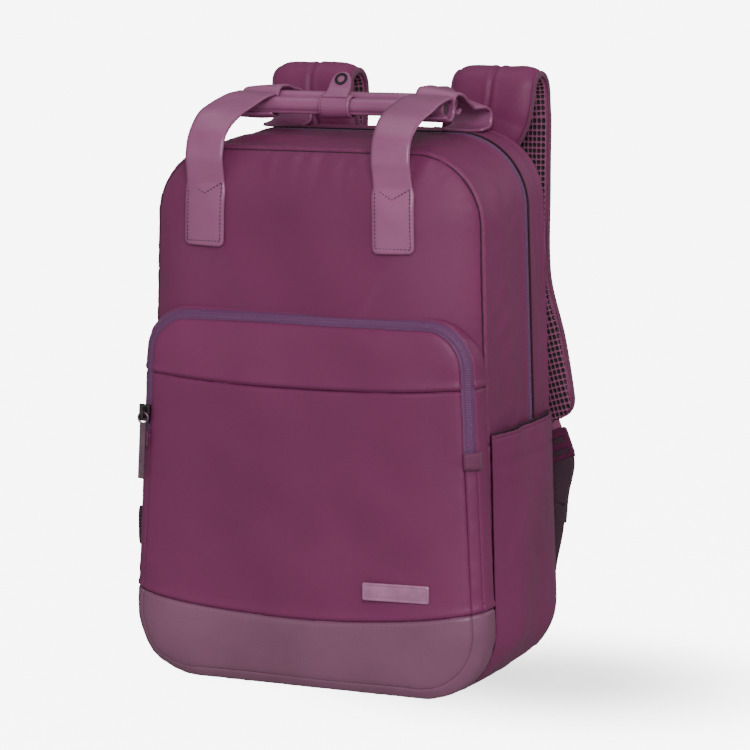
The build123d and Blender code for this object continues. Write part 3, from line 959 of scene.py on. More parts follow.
wall_rings = (
    (1.2, front_y - 1), (0.0, front_y - 4), (0.0, front_y - 9), (0.3, front_y - 14),
    (0.7, front_y - 18), (zip_inset[0], front_y - 20.4),
)
corner_rings = (
    (zip_inset[0], front_y - 20.4), (3.6, front_y - 22.2), (5.6, front_y - 24),
    (7.6, front_y - 25.3), (zip_inset[1], front_y - 26.2),
)
face_rings = (
    (zip_inset[1], front_y - 25.2), (10.3, front_y - 26.8), (11.8, front_y - 27.9),
    (14.5, front_y - 28.8), (19, front_y - 29.9), (26, front_y - 31.2), (36, front_y - 32.6),
    (50, front_y - 34),
)


def pocket_ring(inset, y):
    """Outline of the pocket at depth y, moved in by inset."""
    sizes = (pocket_half[0] - inset, pocket_half[1] - inset)
    return at_depth(arch(
        sizes, pocket_low + inset, pocket_high - inset, pocket_radii[0] - inset,
        pocket_radii[1] - inset, pocket_split,
    ), y)


def pocket_rings(rings):
    return np.stack([pocket_ring(inset, y) for inset, y in rings])


def cross_seam(x):
    """Height of the seam across the pocket: it dips in the middle."""
    return 238.6 + 4.6 * (x / 125.0) ** 2


def trim_seam(x):
    """Height of the top of the leather trim: a long shallow sag, a little lower on the left."""
    return 63.5 + 12.5 * (x / 140.0) ** 2 + 1.6 * (x / 140.0)


# %% [markdown]
# Cloth under tension gathers at a seam and swells between seams. These two fields are added to
# the pocket before it is cut, so that a gather runs through the seam as it does in real cloth.

# %% Pocket relief
def pocket_relief(points, inset):
    """Forward push of the pocket's cloth: slow waves, gathers near edges, slack near seams."""
    x, z = points[..., 0], points[..., 2]
    slow = 1.6 * ripple(points * (1, 0, 0.8), 95)
    diagonal = 0.55 * ripple(np.stack((x + z, x * 0, (x - z) * 0.35), axis=-1), 46)
    edge = 0.5 * ripple(points, 11) * np.exp(-inset / 9)
    fade = np.clip(inset / 24, 0, 1)
    return (slow + diagonal) * fade + edge * np.clip(inset / 3, 0, 1)


def seam_relief(points):
    """Cloth sinks into a stitched line and rises just beside it."""
    x, z = points[..., 0], points[..., 2]
    total = np.zeros(x.shape)
    for line, sink, rise in ((cross_seam(x), 1.5, 0.9), (trim_seam(x), 1.9, 0.9)):
        gap = z - line
        total -= sink * np.exp(-(gap / 1.1) ** 2)
        total += rise * np.exp(-((gap - 3.2) / 2.6) ** 2)
    return total


def warp(mesh_bm, line, sign):
    """Shear a mesh until a seam line is level (sign 1), or back again (sign -1)."""
    for vertex in mesh_bm.verts:
        vertex.co.z -= sign * line(vertex.co.x)


def cut_along(mesh_bm, line, offsets):
    """Add edges parallel to a seam line, at each offset from it."""
    warp(mesh_bm, line, 1)
    for offset in offsets:
        geometry = list(mesh_bm.verts) + list(mesh_bm.edges) + list(mesh_bm.faces)
        bmesh.ops.bisect_plane(
            mesh_bm, geom=geometry, plane_co=(0, 0, offset), plane_no=(0, 0, 1), dist=0.02
        )
    warp(mesh_bm, line, -1)


def skin_mesh(grids):
    """One welded mesh from several grids; each is (points, wrap)."""
    skin = bmesh.new()
    for grid, wrap in grids:
        rows, columns = grid.shape[:2]
        verts = [skin.verts.new(point) for point in grid.reshape(-1, 3)]
        for face in grid_faces(rows, columns, wrap):
            skin.faces.new([verts[index] for index in face])
    bmesh.ops.remove_doubles(skin, verts=skin.verts, dist=0.05)
    bmesh.ops.recalc_face_normals(skin, faces=skin.faces)
    return skin


# %% [markdown]
# Three grids make the skin: the wall, the corner where there is no zipper, and the face. The
# corner's points follow the outline, so the zipper's own band fits the gap that is left.

# %% Weld and cut the pocket
FINE = (-6, -3.6, -2, -1, 0, 1, 2, 3.6, 6)     # extra edges beside a seam, in millimetres from it
wall_part = pocket_rings(wall_rings)
below_zip = ring_slice(pocket_rings(corner_rings), turns - split_side, turns + split_side)
face_part = pillow(
    pocket_half, pocket_low, pocket_high, pocket_radii, face_rings, pocket_split,
    pocket_front - 1.5,
)
skin = skin_mesh(((wall_part, True), (below_zip, False), (face_part, True)))
for line in (cross_seam, trim_seam):
    cut_along(skin, line, FINE)


def pocket_inset(x, z):
    """Rough distance of a point from the pocket's outline."""
    share = np.clip((z - pocket_low) / (pocket_high - pocket_low), 0, 1)
    half = pocket_half[0] + (pocket_half[1] - pocket_half[0]) * share
    return np.minimum(np.minimum(half - np.abs(x), z - pocket_low), pocket_high - z)


skin.normal_update()
points = np.array([tuple(vertex.co) for vertex in skin.verts])
normals = np.array([tuple(vertex.normal) for vertex in skin.verts])
outwards = np.sign((normals @ np.array((0, -1, 0))).sum())
inset = np.maximum(pocket_inset(points[:, 0], points[:, 2]), 0)
push = pocket_relief(points, inset) + seam_relief(points)
for vertex, point, normal, amount in zip(skin.verts, points, normals, push):
    vertex.co = point + normal * outwards * amount
print(f"pocket skin: {len(skin.faces)} faces")


# %% Pocket pieces
def take(skin, name, keep, finish, thick, raise_by=0.0):
    """Copy the faces that keep() accepts into a thin closed piece of their own."""
    part = skin.copy()
    drop = [face for face in part.faces if not keep(face.calc_center_median())]
    bmesh.ops.delete(part, geom=drop, context="FACES")
    part.normal_update()
    front = sum(face.normal.y * face.calc_area() for face in part.faces) < 0
    points = np.array([tuple(vertex.co) for vertex in part.verts])
    normals = np.array([tuple(vertex.normal) for vertex in part.verts]) * (1 if front else -1)
    outer = points + normals * raise_by
    inner = points - normals * (thick - raise_by)
    index = {vertex: i for i, vertex in enumerate(part.verts)}
    faces = [tuple(index[v] for v in face.verts) for face in part.faces]
    count = len(points)
    sides = []
    for edge in part.edges:
        if len(edge.link_faces) == 1:
            a, b = index[edge.verts[0]], index[edge.verts[1]]
            sides.append((a, b, b + count, a + count))
    back = [tuple(i + count for i in reversed(face)) for face in faces]
    flat = points[:, (0, 2)]
    piece = make(
        name, np.concatenate((outer, inner)), faces + back + sides, finish,
        np.concatenate((flat, flat)),
    )
    part.free()
    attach(piece, "bag")
    return piece


def is_wall(centre):
    """Whether a face belongs to the pocket's short wall."""
    return centre.y > front_y - 19.6


pocket_parts = (
    ("pocket_gusset", lambda c: c.z > trim_seam(c.x) and is_wall(c), nylon, 2.0, 0.0),
    ("pocket_face",
     lambda c: trim_seam(c.x) < c.z < cross_seam(c.x) and not is_wall(c), nylon, 2.0, 0.0),
    ("pocket_top_panel", lambda c: c.z > cross_seam(c.x) and not is_wall(c), nylon, 2.0, 0.0),
    ("base_trim", lambda c: c.z < trim_seam(c.x), base_leather, 2.4, 0.5),
)
for node, keep, finish, thick, raise_by in pocket_parts:
    piece = take(skin, f"{node}_cloth", keep, finish, thick, raise_by)
    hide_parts(node)
    if node == "pocket_gusset":            # a long strip, bent round the pocket's edge
        strip = float(piece.dimensions[0] + 2 * piece.dimensions[2])
        cloth_sheet(piece, (one_side(piece) / strip, strip))
    elif finish is nylon:
        cloth_sheet(piece)
skin_tree = BVHTree.FromBMesh(skin)


def on_pocket(x, z):
    """Point and outward direction of the pocket's skin in front of (x, z)."""
    hit, normal, _, _ = skin_tree.ray_cast(Vector((x, front_y - 90, z)), Vector((0, 1, 0)))
    normal = np.array(normal)
    return np.array(hit), normal if normal[1] < 0 else -normal


# %% [markdown]
# The pocket's zipper follows the rounded corner from one side to the other. Its two ends are
# closed by small folded cloth tabs.

# %% Pocket zipper and its end tabs
zip_columns = np.arange(split_side, turns - split_side + 1)
outer_edge = pocket_ring(zip_inset[0] - 0.6, front_y - 19.8)[zip_columns]
inner_edge = pocket_ring(zip_inset[1] + 0.8, front_y - 25.8)[zip_columns]
rise = units(np.cross(np.gradient(outer_edge, axis=0), inner_edge - outer_edge))
rise *= -np.sign(rise[:, 1]).reshape(-1, 1)
pocket_zip = zipper_band("pocket_zipper_coil", outer_edge, inner_edge, rise)
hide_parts("pocket_zipper")
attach(pocket_zip, "bag")

for name, side in SIDES:
    rows = []
    for z in np.linspace(pocket_split - 10, pocket_split + 1.5, 8):
        half = pocket_half[0] - (pocket_half[0] - pocket_half[1]) * z / pocket_high
        fold = 0.8 if pocket_split - 9 < z < pocket_split + 1 else 0.0
        rows.append([
            (side * (half - inset + 0.6 + fold * 0.4), front_y + y - fold, z)
            for inset, y in ((0.4, -18.5), (2, -21.2), (5, -24.2), (8, -26.2), (10.5, -27.6))
        ])
    tab = panel(f"pocket_zip_end_{name}", np.array(rows), binding, 1.4, side=-side)
    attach(tab, "bag")
    if name == "left":
        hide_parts("pocket_zip_stop")

# %% [markdown]
# ## Stitches
# A stitch is a short grain of thread that lies on the surface with its ends sunk in. One
# function sews a whole line of them along any path, as one mesh.

# %% Sewing
SPOKES = [2 * math.pi * step / 6 for step in range(6)]
STITCH = (                                 # share of the length, thickness, height
    (0, 0.35, -0.5), (0.16, 0.9, 0.3), (0.5, 1, 0.55), (0.84, 0.9, 0.3), (1, 0.35, -0.5),
)


def sew(name, points, normals, finish=thread, pitch=3.2, length=2.3, radius=0.34, body="bag"):
    """Row of stitches along a path of points with outward normals."""
    points, normals = np.asarray(points, float), np.asarray(normals, float)
    lengths = line_length(points)
    count = max(int(lengths[-1] / pitch), 1)
    middles = (np.arange(count) + 0.5) * lengths[-1] / count

    def at(values, place):
        return np.array([np.interp(place, lengths, values[:, i]) for i in range(3)])

    verts, faces = [], []
    for centre in middles:
        first, last = at(points, centre - length / 2), at(points, centre + length / 2)
        along = unit(last - first)
        up = unit(at(normals, centre))
        across = unit(np.cross(along, up))
        faces += tube_faces(len(STITCH), len(SPOKES), start=len(verts))
        for share, size, lift in STITCH:
            base = first + (last - first) * share + up * radius * lift
            for angle in SPOKES:
                spoke = across * math.cos(angle) + up * math.sin(angle)
                verts.append(base + spoke * radius * size)
    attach(make(name, verts, faces, finish), body)


def bartack(name, centre, along, up, length, width, body="bag", finish=thread):
    """Dense zigzag of thread that locks the end of a seam."""
    along, up = unit(np.array(along, float)), unit(np.array(up, float))
    across = unit(np.cross(along, up))
    steps = int(length / 0.55)
    path = [np.array(centre) + along * (i / steps - 0.5) * length
            + across * width * (0.5 if i % 2 else -0.5) + up * 0.25 for i in range(steps + 1)]
    sew(name, path, [up] * len(path), finish, pitch=width * 1.04, length=width * 1.1,
        radius=0.3, body=body)


# %% Stitches on the leather trim and the pocket
trim_line = [on_pocket(x, trim_seam(x) - 4.2) for x in np.linspace(-126, 128, 60)]
sew("trim_topstitch", [p for p, n in trim_line], [n for p, n in trim_line],
    pitch=3.6, length=2.5, radius=0.36)
edge_line = [on_pocket(x, cross_seam(x) + 2.2) for x in np.linspace(-120, 122, 60)]
sew("cross_seam_topstitch", [p for p, n in edge_line], [n for p, n in edge_line], dark_thread,
    pitch=2.6, length=1.7, radius=0.16)

# %% [markdown]
# ## Plate
# The plate is a plain bevelled bar with a raised rim, pinned to the pocket. Its face stays
# blank. It lies on the cloth's own slope, so its place and tilt are taken from the skin.

# %% Plate on the pocket
tag_centre = middle("tag")
tag_size = (high("tag") - low("tag")) * (1.04, 1, 1.0)
spot, facing = on_pocket(tag_centre[0], tag_centre[2])
facing = unit(facing + np.array((0.05, 0, 0)))
spot = spot + facing * 0.9
side_way = unit(np.cross((0, 0, 1), facing))
side_way = side_way if side_way[0] > 0 else -side_way
up_way = unit(np.cross(facing, side_way))
up_way = up_way if up_way[2] > 0 else -up_way


def rounded_outline(lo, hi, corner, steps=8):
    """Outline of a rounded rectangle in X and Z."""
    ring = []
    mid_x, mid_z = (lo[0] + hi[0]) / 2, (lo[2] + hi[2]) / 2
    half_x, half_z = (hi[0] - lo[0]) / 2, (hi[2] - lo[2]) / 2
    for quarter in range(4):
        sign_x = 1 if quarter in (0, 3) else -1
        sign_z = 1 if quarter in (0, 1) else -1
        for step in range(steps + 1):
            angle = math.pi / 2 * (quarter + step / steps)
            ring.append((mid_x + sign_x * (half_x - corner) + corner * math.cos(angle),
                         mid_z + sign_z * (half_z - corner) + corner * math.sin(angle)))
    return ring


def plate_ring(half_x, half_z, corner, lift):
    """Rounded rectangle on the plate's own plane, lifted off the cloth."""
    outline = rounded_outline((-half_x, 0, -half_z), (half_x, 0, half_z), corner, 5)
    return [spot + side_way * x + up_way * z + facing * lift for x, z in outline]


half_x, half_z = tag_size[0] / 2, tag_size[2] / 2
plate_rings = [
    plate_ring(half_x - inset, half_z - inset, max(1.6 - inset * 0.5, 0.3), lift)
    for inset, lift in (
        (0.6, -0.8), (0.1, -0.3), (0.0, 0.6), (0.15, 1.3), (0.6, 1.8), (1.2, 1.9), (1.7, 1.6),
        (2.1, 1.5), (2.8, 1.62), (4.0, 1.75), (5.5, 1.8),
    )
]
tag = make("blank_plate", np.concatenate(plate_rings),
           tube_faces(len(plate_rings), len(plate_rings[0])), tag_plate)
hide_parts("tag")
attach(tag, "bag")

# %% [markdown]
# ## Side pockets
# A side pocket is a single cloth laid over the wall and held off it by its fullness. Elastic
# in the hem pulls the top edge in and gathers it. A near-black facing inside the hem shows
# above its edge as a dark gap between pocket and wall: painted shade.

# %% Side pockets
hem_top = high("side_pocket_left")[2]
pocket_foot = low("side_pocket_left")[2] + 1


def wall_x(y, z):
    """Half width of the finished wall at depth y and height z."""
    outline = body_outline(y, -wall_offset(y, upper=False))[:int(MARKS[4]) + 1]
    return float(np.interp(z, outline[:, 1], outline[:, 0]))


pocket_ys = np.concatenate((
    np.linspace(front_y + 1.6, front_y + 12, 10), np.linspace(front_y + 14, rear_y - 14, 46),
    np.linspace(rear_y - 12, rear_y - 1.6, 10),
))
pocket_zs = np.concatenate((
    np.linspace(pocket_foot, 50, 12), np.linspace(54, hem_top - 16, 40),
    np.linspace(hem_top - 14, hem_top, 16),
))
HEM_ROW = -19                              # row of the hem's lower seam
LIP = slice(-9, None)                      # rows that the facing covers
hem_seam = hem_top - pocket_zs[HEM_ROW]
wall_table = np.array([[wall_x(y, z) for y in pocket_ys] for z in pocket_zs])
centre_y, half_y = (front_y + rear_y) / 2, (rear_y - front_y) / 2
for name, side in SIDES[::-1]:
    yy, zz = np.meshgrid(pocket_ys, pocket_zs)
    lean = np.abs((yy - centre_y) / half_y)
    full = 1 - lean ** 4.5
    rise = np.clip((zz - pocket_foot) / 26, 0, 1) ** 0.6
    stand = (0.6 + 6.6 * full) * rise
    under_hem = hem_top - zz
    stand -= 1.2 * full * np.exp(-(under_hem / 16) ** 2)
    stand -= 1.0 * np.exp(-((under_hem - hem_seam) / 2.0) ** 2) * np.clip((1 - lean) * 12, 0, 1)
    stand -= 0.6 * np.exp(-((under_hem - 3) / 0.8) ** 2) * np.clip((1 - lean) * 12, 0, 1)
    flat = np.stack((yy * 0, yy, zz), axis=-1)
    gathers = ripple(flat * (1, 1, 0.12), 8) * np.exp(-under_hem / 16) * full * 0.55
    folds = 1.5 * ripple(flat * (1, 1.2, 0.5), 62) + 0.6 * ripple(flat, 26)
    stand += gathers + folds * full * rise * 0.8
    grid = np.stack((side * (wall_table + np.maximum(stand, 0.35)), yy, zz), axis=-1)
    cloth = panel(f"side_pocket_{name}_cloth", grid, nylon, 1.6, side=side)
    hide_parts(f"side_pocket_{name}", f"side_pocket_gusset_{name}")
    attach(cloth, "bag")
    cloth_sheet(cloth, cut_size(grid))
    # The facing is near-black lining that rises a little above the hem's top edge: painted shade in
    # the pocket's opening.
    inside = np.clip((zz - hem_top + 7) / 8.2, 0, 1)[LIP]
    shade_lip_stand = np.maximum(stand[LIP] * 0.62, 0.3)
    lip = np.stack((side * (wall_table[LIP] + shade_lip_stand), yy[LIP], zz[LIP] + 1.5 * inside), -1)
    shade_facing = panel(f"side_pocket_{name}_facing", lip, lining_and_shade, 0.8, side=side)
    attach(shade_facing, "bag")
    for row, label in ((-4, "upper"), (HEM_ROW, "lower")):
        line = grid[row, 3:-3] + np.array((side * 0.1, 0, 0))
        sew(f"hem_stitch_{label}_{name}", line, [(side, 0, 0)] * len(line), dark_thread,
            pitch=2.8, length=1.9, radius=0.2)
    for end, column in (("front", 1), ("rear", -2)):
        bartack(f"pocket_bartack_{end}_{name}", grid[-6, column] + np.array((side * 0.3, 0, 0)),
                (0, 0, 1), (side, 0.3 * (-1 if end == "front" else 1), 0), 8, 2.0,
                finish=dark_thread)

# %% [markdown]
# ## Leather handles
# Each handle strap is one length of leather: sewn flat on the bag, then free, and at last
# wrapped round the end of the grip. It is one sheet here too. Where it leaves its stitches it
# bends, so the strap is blended between the bag and the handle over a few millimetres.

# %% Smooth routes
def smooth(points, step):
    """Even points along a Catmull-Rom curve through the given points."""
    points = np.asarray(points, float)
    ends = np.concatenate((
        [2 * points[0] - points[1]], points, [2 * points[-1] - points[-2]]
    ))
    fine = []
    for i in range(1, len(ends) - 2):
        a, b, c, d = ends[i - 1], ends[i], ends[i + 1], ends[i + 2]
        for t in np.linspace(0, 1, 24, endpoint=False):
            fine.append(0.5 * (
                2 * b + (c - a) * t + (2 * a - 5 * b + 4 * c - d) * t ** 2
                + (3 * b - a - 3 * c + d) * t ** 3
            ))
    fine.append(ends[-2])
    fine = np.array(fine)
    lengths = line_length(fine[:, :3])
    count = max(int(lengths[-1] / step), 3)
    return read_off(fine, lengths, np.linspace(0, lengths[-1], count + 1))


def frames_of(path):
    """Directions across and under a strap whose width lies along X."""
    along = units(np.gradient(path, axis=0))
    across = units(np.array((1.0, 0, 0)) - along * along[:, :1])
    return across, np.cross(along, across)


def walk(corners, count):
    """Points (x, z) along a path with these corners, count of them to a side."""
    return [(x0 + (x1 - x0) * share, z0 + (z1 - z0) * share)
            for (x0, z0), (x1, z1) in zip(corners, corners[1:])
            for share in np.linspace(0, 1, count + 1)[:-1]]


# %% Surfaces that the straps lie on
front_tree = BVHTree.FromPolygons(
    [Vector(p) for p in front_grid.reshape(-1, 3)],
    grid_faces(*front_grid.shape[:2], wrap=True),
)


def front_depth(x, z):
    """Depth of the front panel's surface at (x, z)."""
    hit = front_tree.ray_cast(Vector((x, front_y - 90, z)), Vector((0, 1, 0)))[0]
    return hit.y if hit else front_y


# %% Front handle straps
handle_x = {side: middle(f"front_handle_strap_{side}")[0] for side in ("left", "right")}
strap_width = float((high("front_handle_tab_left") - low("front_handle_tab_left"))[0])
front_grip_at = middle("front_grip")[1:]
rear_grip_at = middle("rear_grip")[1:]
grip_radius = float((high("front_grip") - low("front_grip"))[2]) / 2
tab_low = low("front_handle_tab_left")[2]
tab_high = high("front_handle_tab_left")[2]
LEATHER = 2.2                              # thickness of a strap, in millimetres


def around_grip(at, first, last, gap=1.9):
    """Side-view points on a circle round a grip, from one angle to another in degrees."""
    turns_ = np.radians(np.linspace(first, last, 12))
    radius = grip_radius + gap
    return [(at[0] + radius * math.cos(t), at[1] + radius * math.sin(t)) for t in turns_]


def leather_strap(name, side_view, x, widths, shift, twist=None, sewn=False, outward=1):
    """Leather strap from a side view (y, z); shift moves it sideways along its length."""
    route = smooth([(0, y, z) for y, z in side_view], 1.6)
    share = np.linspace(0, 1, len(route))
    route[:, 0] = x + np.interp(share, *shift)
    width = np.interp(share, *widths)
    across, under = frames_of(route)
    outer = -under * outward
    if twist:
        angle = np.radians(np.interp(share, *twist))[:, None]
        across, outer = (across * np.cos(angle) + outer * np.sin(angle),
                         outer * np.cos(angle) - across * np.sin(angle))
    rows = []
    for place, way, out, wide in zip(route, across, outer, width):
        row = []
        for a in np.linspace(-1, 1, 15):
            edge = 0.5 * max(abs(a) - 0.86, 0) / 0.14
            lift = 1.1 + 0.5 * (1 - a * a) - edge
            point = place + way * a * wide / 2 + out * lift
            if sewn and place[2] < tab_low + 4:
                drop = math.sqrt(max(1 - ((tab_low + 4 - place[2]) / 4.7) ** 2, 0))
                corner = wide / 2 - 4 + 4 * drop
                point = point - way * a * (wide / 2 - corner)
            if sewn and place[2] < tab_high:
                blend = np.clip((tab_high - place[2]) / 8, 0, 1)
                groove = 0.45 * math.exp(-((abs(a) - 0.82) / 0.07) ** 2)
                lay = front_depth(point[0], point[2]) - LEATHER - 0.5 + edge + groove
                point[1] += (lay - point[1]) * blend
            row.append(point)
        rows.append(row)
    grid = np.array(rows)
    grid += 0.22 * ripple(grid, 24)[:, :, None] * outer[:, None, :]
    return panel(name, grid, leather, LEATHER, side=-outward), grid


front_route = [
    (front_depth(0, tab_low) - 1.2, tab_low - 0.6), (front_depth(0, 358) - 1.2, 358),
    (front_depth(0, 375) - 1.2, 375), (front_depth(0, 388) - 1.5, 388), (-95.4, 399),
    (-97.0, 411), (-91.5, 427), (-74, 439.5), (-50, 446.5), (-30, 451.2),
] + around_grip(front_grip_at, 96, -140)
for name, x in handle_x.items():
    inward = 1 if name == "left" else -1
    strap, grid = leather_strap(
        f"front_strap_{name}", front_route, x,
        ((0, 0.21, 0.24, 0.42, 0.62, 1),
         (strap_width, strap_width + 0.6, strap_width - 2.4, 30.5, 34.0, 33)),
        ((0, 0.24, 0.7, 1), (-inward * 1.6, 0, inward * 3.0, inward * 4.0)),
        twist=((0, 0.3, 0.5, 0.72, 1), (0, 0, -7, -4, 0)), sewn=True,
    )
    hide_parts(f"front_handle_tab_{name}", f"front_handle_strap_{name}")
    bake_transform(strap)
    inset = strap_width / 2 - 2.7
    foot, head = tab_low + 3.2, tab_high - 1.5
    corners = [(-inset, head), (-inset, foot), (inset, foot), (inset, head), (0, head - 8.5),
               (-inset, head)]
    line = []
    for off, pz in walk(corners, 13):
        px = x + off - inward * 1.6 * (head - pz) / (head - foot)
        line.append((px, front_depth(px, pz) - LEATHER - 0.45, pz))
    sew(f"front_strap_stitch_{name}", line, [(0, -1, 0)] * len(line), dark_thread,
        pitch=2.9, length=2.1, radius=0.34)
print("front straps", len(grid), "rows")

# %% Rear handle straps
rear_tab_front = low("rear_handle_tab_left")[1]


def top_height(y):
    """Height of the bag's top at depth y."""
    return front_top + (rear_top - front_top) * (y - front_y) / (rear_y - front_y) + 1.2


rear_route = [
    (rear_tab_front, top_height(rear_tab_front) + 1.0), (48, top_height(48) + 1.2),
    (54, top_height(54) + 1.6), (59, top_height(57) + 4), (60, 437), (54, 444.5), (42, 449),
    (26, 452.5), (14, 456),
] + around_grip(rear_grip_at, 80, 320)
for name, x in handle_x.items():
    inward = 1 if name == "left" else -1
    turned = -34 if name == "right" else 16
    strap, grid = leather_strap(
        f"rear_strap_{name}", rear_route, x,
        ((0, 0.2, 0.45, 0.62, 1), (strap_width, strap_width, 31, 33, 32)),
        ((0, 0.3, 0.7, 1), (0, 0, inward * 3.0, inward * 4.0)),
        twist=((0, 0.24, 0.42, 0.66, 1), (0, 0, turned, turned * 0.3, 0)), outward=-1,
    )
    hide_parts(f"rear_handle_tab_{name}", f"rear_handle_strap_{name}")
    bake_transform(strap)

# %% [markdown]
# The grips are leather rolled round a cord and closed with a lengthwise seam. A sweep with a
# slightly uneven radius and a ridge along the seam reads as rolled leather.

# %% Rolled grips
def grip_roll(name, at, x_range, seam_angle, radius):
    """Rolled leather tube along X with a sewn ridge at seam_angle (degrees)."""
    xs = np.linspace(x_range[0], x_range[1], 110)
    angles = np.radians(np.linspace(0, 360, 49)[:-1])
    gap = np.abs((np.degrees(angles) - seam_angle + 180) % 360 - 180)
    ridge = 0.9 * np.exp(-(gap / 9) ** 2) - 0.5 * np.exp(-((gap - 17) / 6) ** 2)
    rows = []
    for x in xs:
        to_end = min(x - xs[0], xs[-1] - x)
        closing = 1 - 0.16 * math.exp(-to_end / 1.2)
        size = (radius + ridge + 0.1 * math.sin(x / 17.0)) * closing
        rows.append(np.stack((
            np.full(len(angles), x), at[0] + size * np.cos(angles), at[1] + size * np.sin(angles),
        ), axis=1))
    grid = np.stack(rows)
    grid += 0.22 * ripple(grid * (1, 0.6, 0.6), 12)[:, :, None] * np.array((0, 1, 0))
    return panel(name, grid, leather, 1.4, wrap=True, side=-1)


for end, at in (("front", front_grip_at), ("rear", rear_grip_at)):
    ends = (low(f"{end}_grip")[0], high(f"{end}_grip")[0])
    roll = grip_roll(f"{end}_grip_roll", at, ends, 235, grip_radius - 0.5)
    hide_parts(f"{end}_grip")
    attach(roll, f"{end}_handle")

# %% [markdown]
# The wrap is a short leather collar round the front grip. Its free end rises as a leaf that
# holds a press-stud eyelet and rounds off at the tip.

# %% Wrap collar
wrap_ends = (low("handle_wrap")[0], high("handle_wrap")[0])
wrap_radius = float((high("handle_wrap") - low("handle_wrap"))[2]) / 2
profile = [(0.0, -1.7), (0.15, -0.6), (0.8, -0.05), (2.2, 0.12), (4.5, 0.0), (13, 0.25)]
across_wrap = profile + [(26 - x, h) for x, h in profile[-2::-1]]
angles = np.radians(np.linspace(0, 360, 61)[:-1])
collar_rows = []
for x, lift in across_wrap:
    size = wrap_radius + lift + 0.12 * np.sin(3 * angles + x * 0.2)
    collar_rows.append(np.stack((
        np.full(len(angles), wrap_ends[0] + x), front_grip_at[0] + size * np.cos(angles),
        front_grip_at[1] + size * np.sin(angles),
    ), axis=1))
collar = panel("wrap_collar", np.stack(collar_rows), leather, 1.2, wrap=True, side=-1)
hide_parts("handle_wrap")
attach(collar, "front_handle")
for label, x in (("left", wrap_ends[0] + 2.6), ("right", wrap_ends[1] - 2.6)):
    turn = np.radians(np.linspace(110, 350, 40))
    ring = [(x, front_grip_at[0] + (wrap_radius + 0.15) * math.cos(t),
             front_grip_at[1] + (wrap_radius + 0.15) * math.sin(t)) for t in turn]
    out = [(0, math.cos(t), math.sin(t)) for t in turn]
    sew(f"wrap_stitch_{label}", ring, out, dark_thread, 2.4, 1.6, 0.2, "front_handle")

# %% Leaf and eyelet
leaf_side = [(-20.2, 451.0), (-15.6, 453.6), (-11.4, 456.4), (-8.4, 460.6), (-6.3, 464.0),
             (-4.4, 467.0), (-2.6, 469.0)]
leaf_x = (wrap_ends[0] + wrap_ends[1]) / 2
leaf_route = smooth([(leaf_x, y, z) for y, z in leaf_side], 0.8)
leaf_across, leaf_under = frames_of(leaf_route)
rows = []
for i, (point, way, under) in enumerate(zip(leaf_route, leaf_across, leaf_under)):
    share = i / (len(leaf_route) - 1)
    wide = np.interp(share, (0, 0.25, 0.55, 0.8, 0.93, 1), (21, 19, 18, 15.5, 11, 5))
    rows.append([point + way * a * wide / 2 - under * (1.0 + 0.25 * (1 - a * a))
                 for a in np.linspace(-1, 1, 17)])
leaf = panel("wrap_leaf", np.array(rows), leather, 1.9, side=-1)
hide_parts("wrap_flap")
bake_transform(leaf)

# %% [markdown]
# A press stud's socket closes the eyelet from behind. It is a turned metal cup.

# %% Stud in the eyelet
def turned(name, centre, axis, profile, finish, body, count=32):
    """Solid of revolution: profile is (radius, height) along the axis."""
    axis = unit(np.array(axis, float))
    side = unit(np.cross(axis, (0, 0, 1) if abs(axis[2]) < 0.9 else (1, 0, 0)))
    other = np.cross(axis, side)
    angles = np.linspace(0, 2 * math.pi, count, endpoint=False)
    rings = [[np.array(centre) + axis * height + (side * math.cos(t) + other * math.sin(t)) * r
              for t in angles] for r, height in profile]
    faces = tube_faces(len(rings), count)
    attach(make(name, np.array(rings).reshape(-1, 3), faces, finish), body)


eyelet = middle("snap_eyelet")
leaf_out = (0, -0.848, 0.530)
turned("stud_socket", eyelet, leaf_out,
       ((2.9, -1.2), (3.0, 0.9), (2.5, 1.2), (2.2, 0.5), (1.2, 0.4), (0.9, 0.9), (0.3, 1.0)),
       gunmetal, "wrap_flap")

# %% [markdown]
# ## Shoulder straps
# A shoulder strap is nylon over foam with air mesh below, and a seam down its middle. It is
# swept along the same stations as its solid, from the yoke, over the bend and down the leg,
# as one piece.

# %% Strap stations
bend_x, bend_y, bend_z, bend_radius = 78.0, 96.0, 466.0, 15.6


def bend_station(degrees):
    """Station (x, y, z, width) on the bend over the top of the yoke."""
    turn = math.radians(degrees)
    return (bend_x, bend_y + bend_radius * math.cos(turn),
            bend_z - bend_radius + bend_radius * math.sin(turn), 68)


strap_stations = (
    (60, 77.2, 372, 57), (60.5, 78.5, 384, 58), (62, 80.4, 396, 60), (66, 80.4, 411, 62.5),
    (70, 80.4, 425, 65), (74, 80.4, 434.5, 66.5), (76.8, 80.4, 443.5, 67.5),
    *(bend_station(degrees) for degrees in (148, 120, 90, 60, 30, 2)),
    (78.3, 111.8, 442.5, 68), (78.7, 112, 434, 68), (79, 112, 425, 68), (79, 111.5, 380, 68),
    (81.5, 109, 305, 67), (96.5, 106.5, 250, 66), (109.5, 104, 207, 58),
    (114.2, 103.4, 190.5, 53),
)


# %% Sweeping a padded strap
def sweep(name, route, width, outline, finish):
    """Closed band: outline(share, width) gives points (across, outwards) round the section."""
    across, under = frames_of(route)
    rows = []
    for i, (place, way, inner) in enumerate(zip(route, across, under)):
        section = outline(i / (len(route) - 1), width[i])
        rows.append([place + way * a - inner * h for a, h in section])
    return tube(name, np.array(rows), finish)


def pressed(share):
    """The foam is squeezed flat where the strap is sewn to the yoke and at its lower end."""
    return float(np.interp(share, (0, 0.05, 0.11, 0.94, 1), (0.4, 0.55, 1, 1, 0.62)))


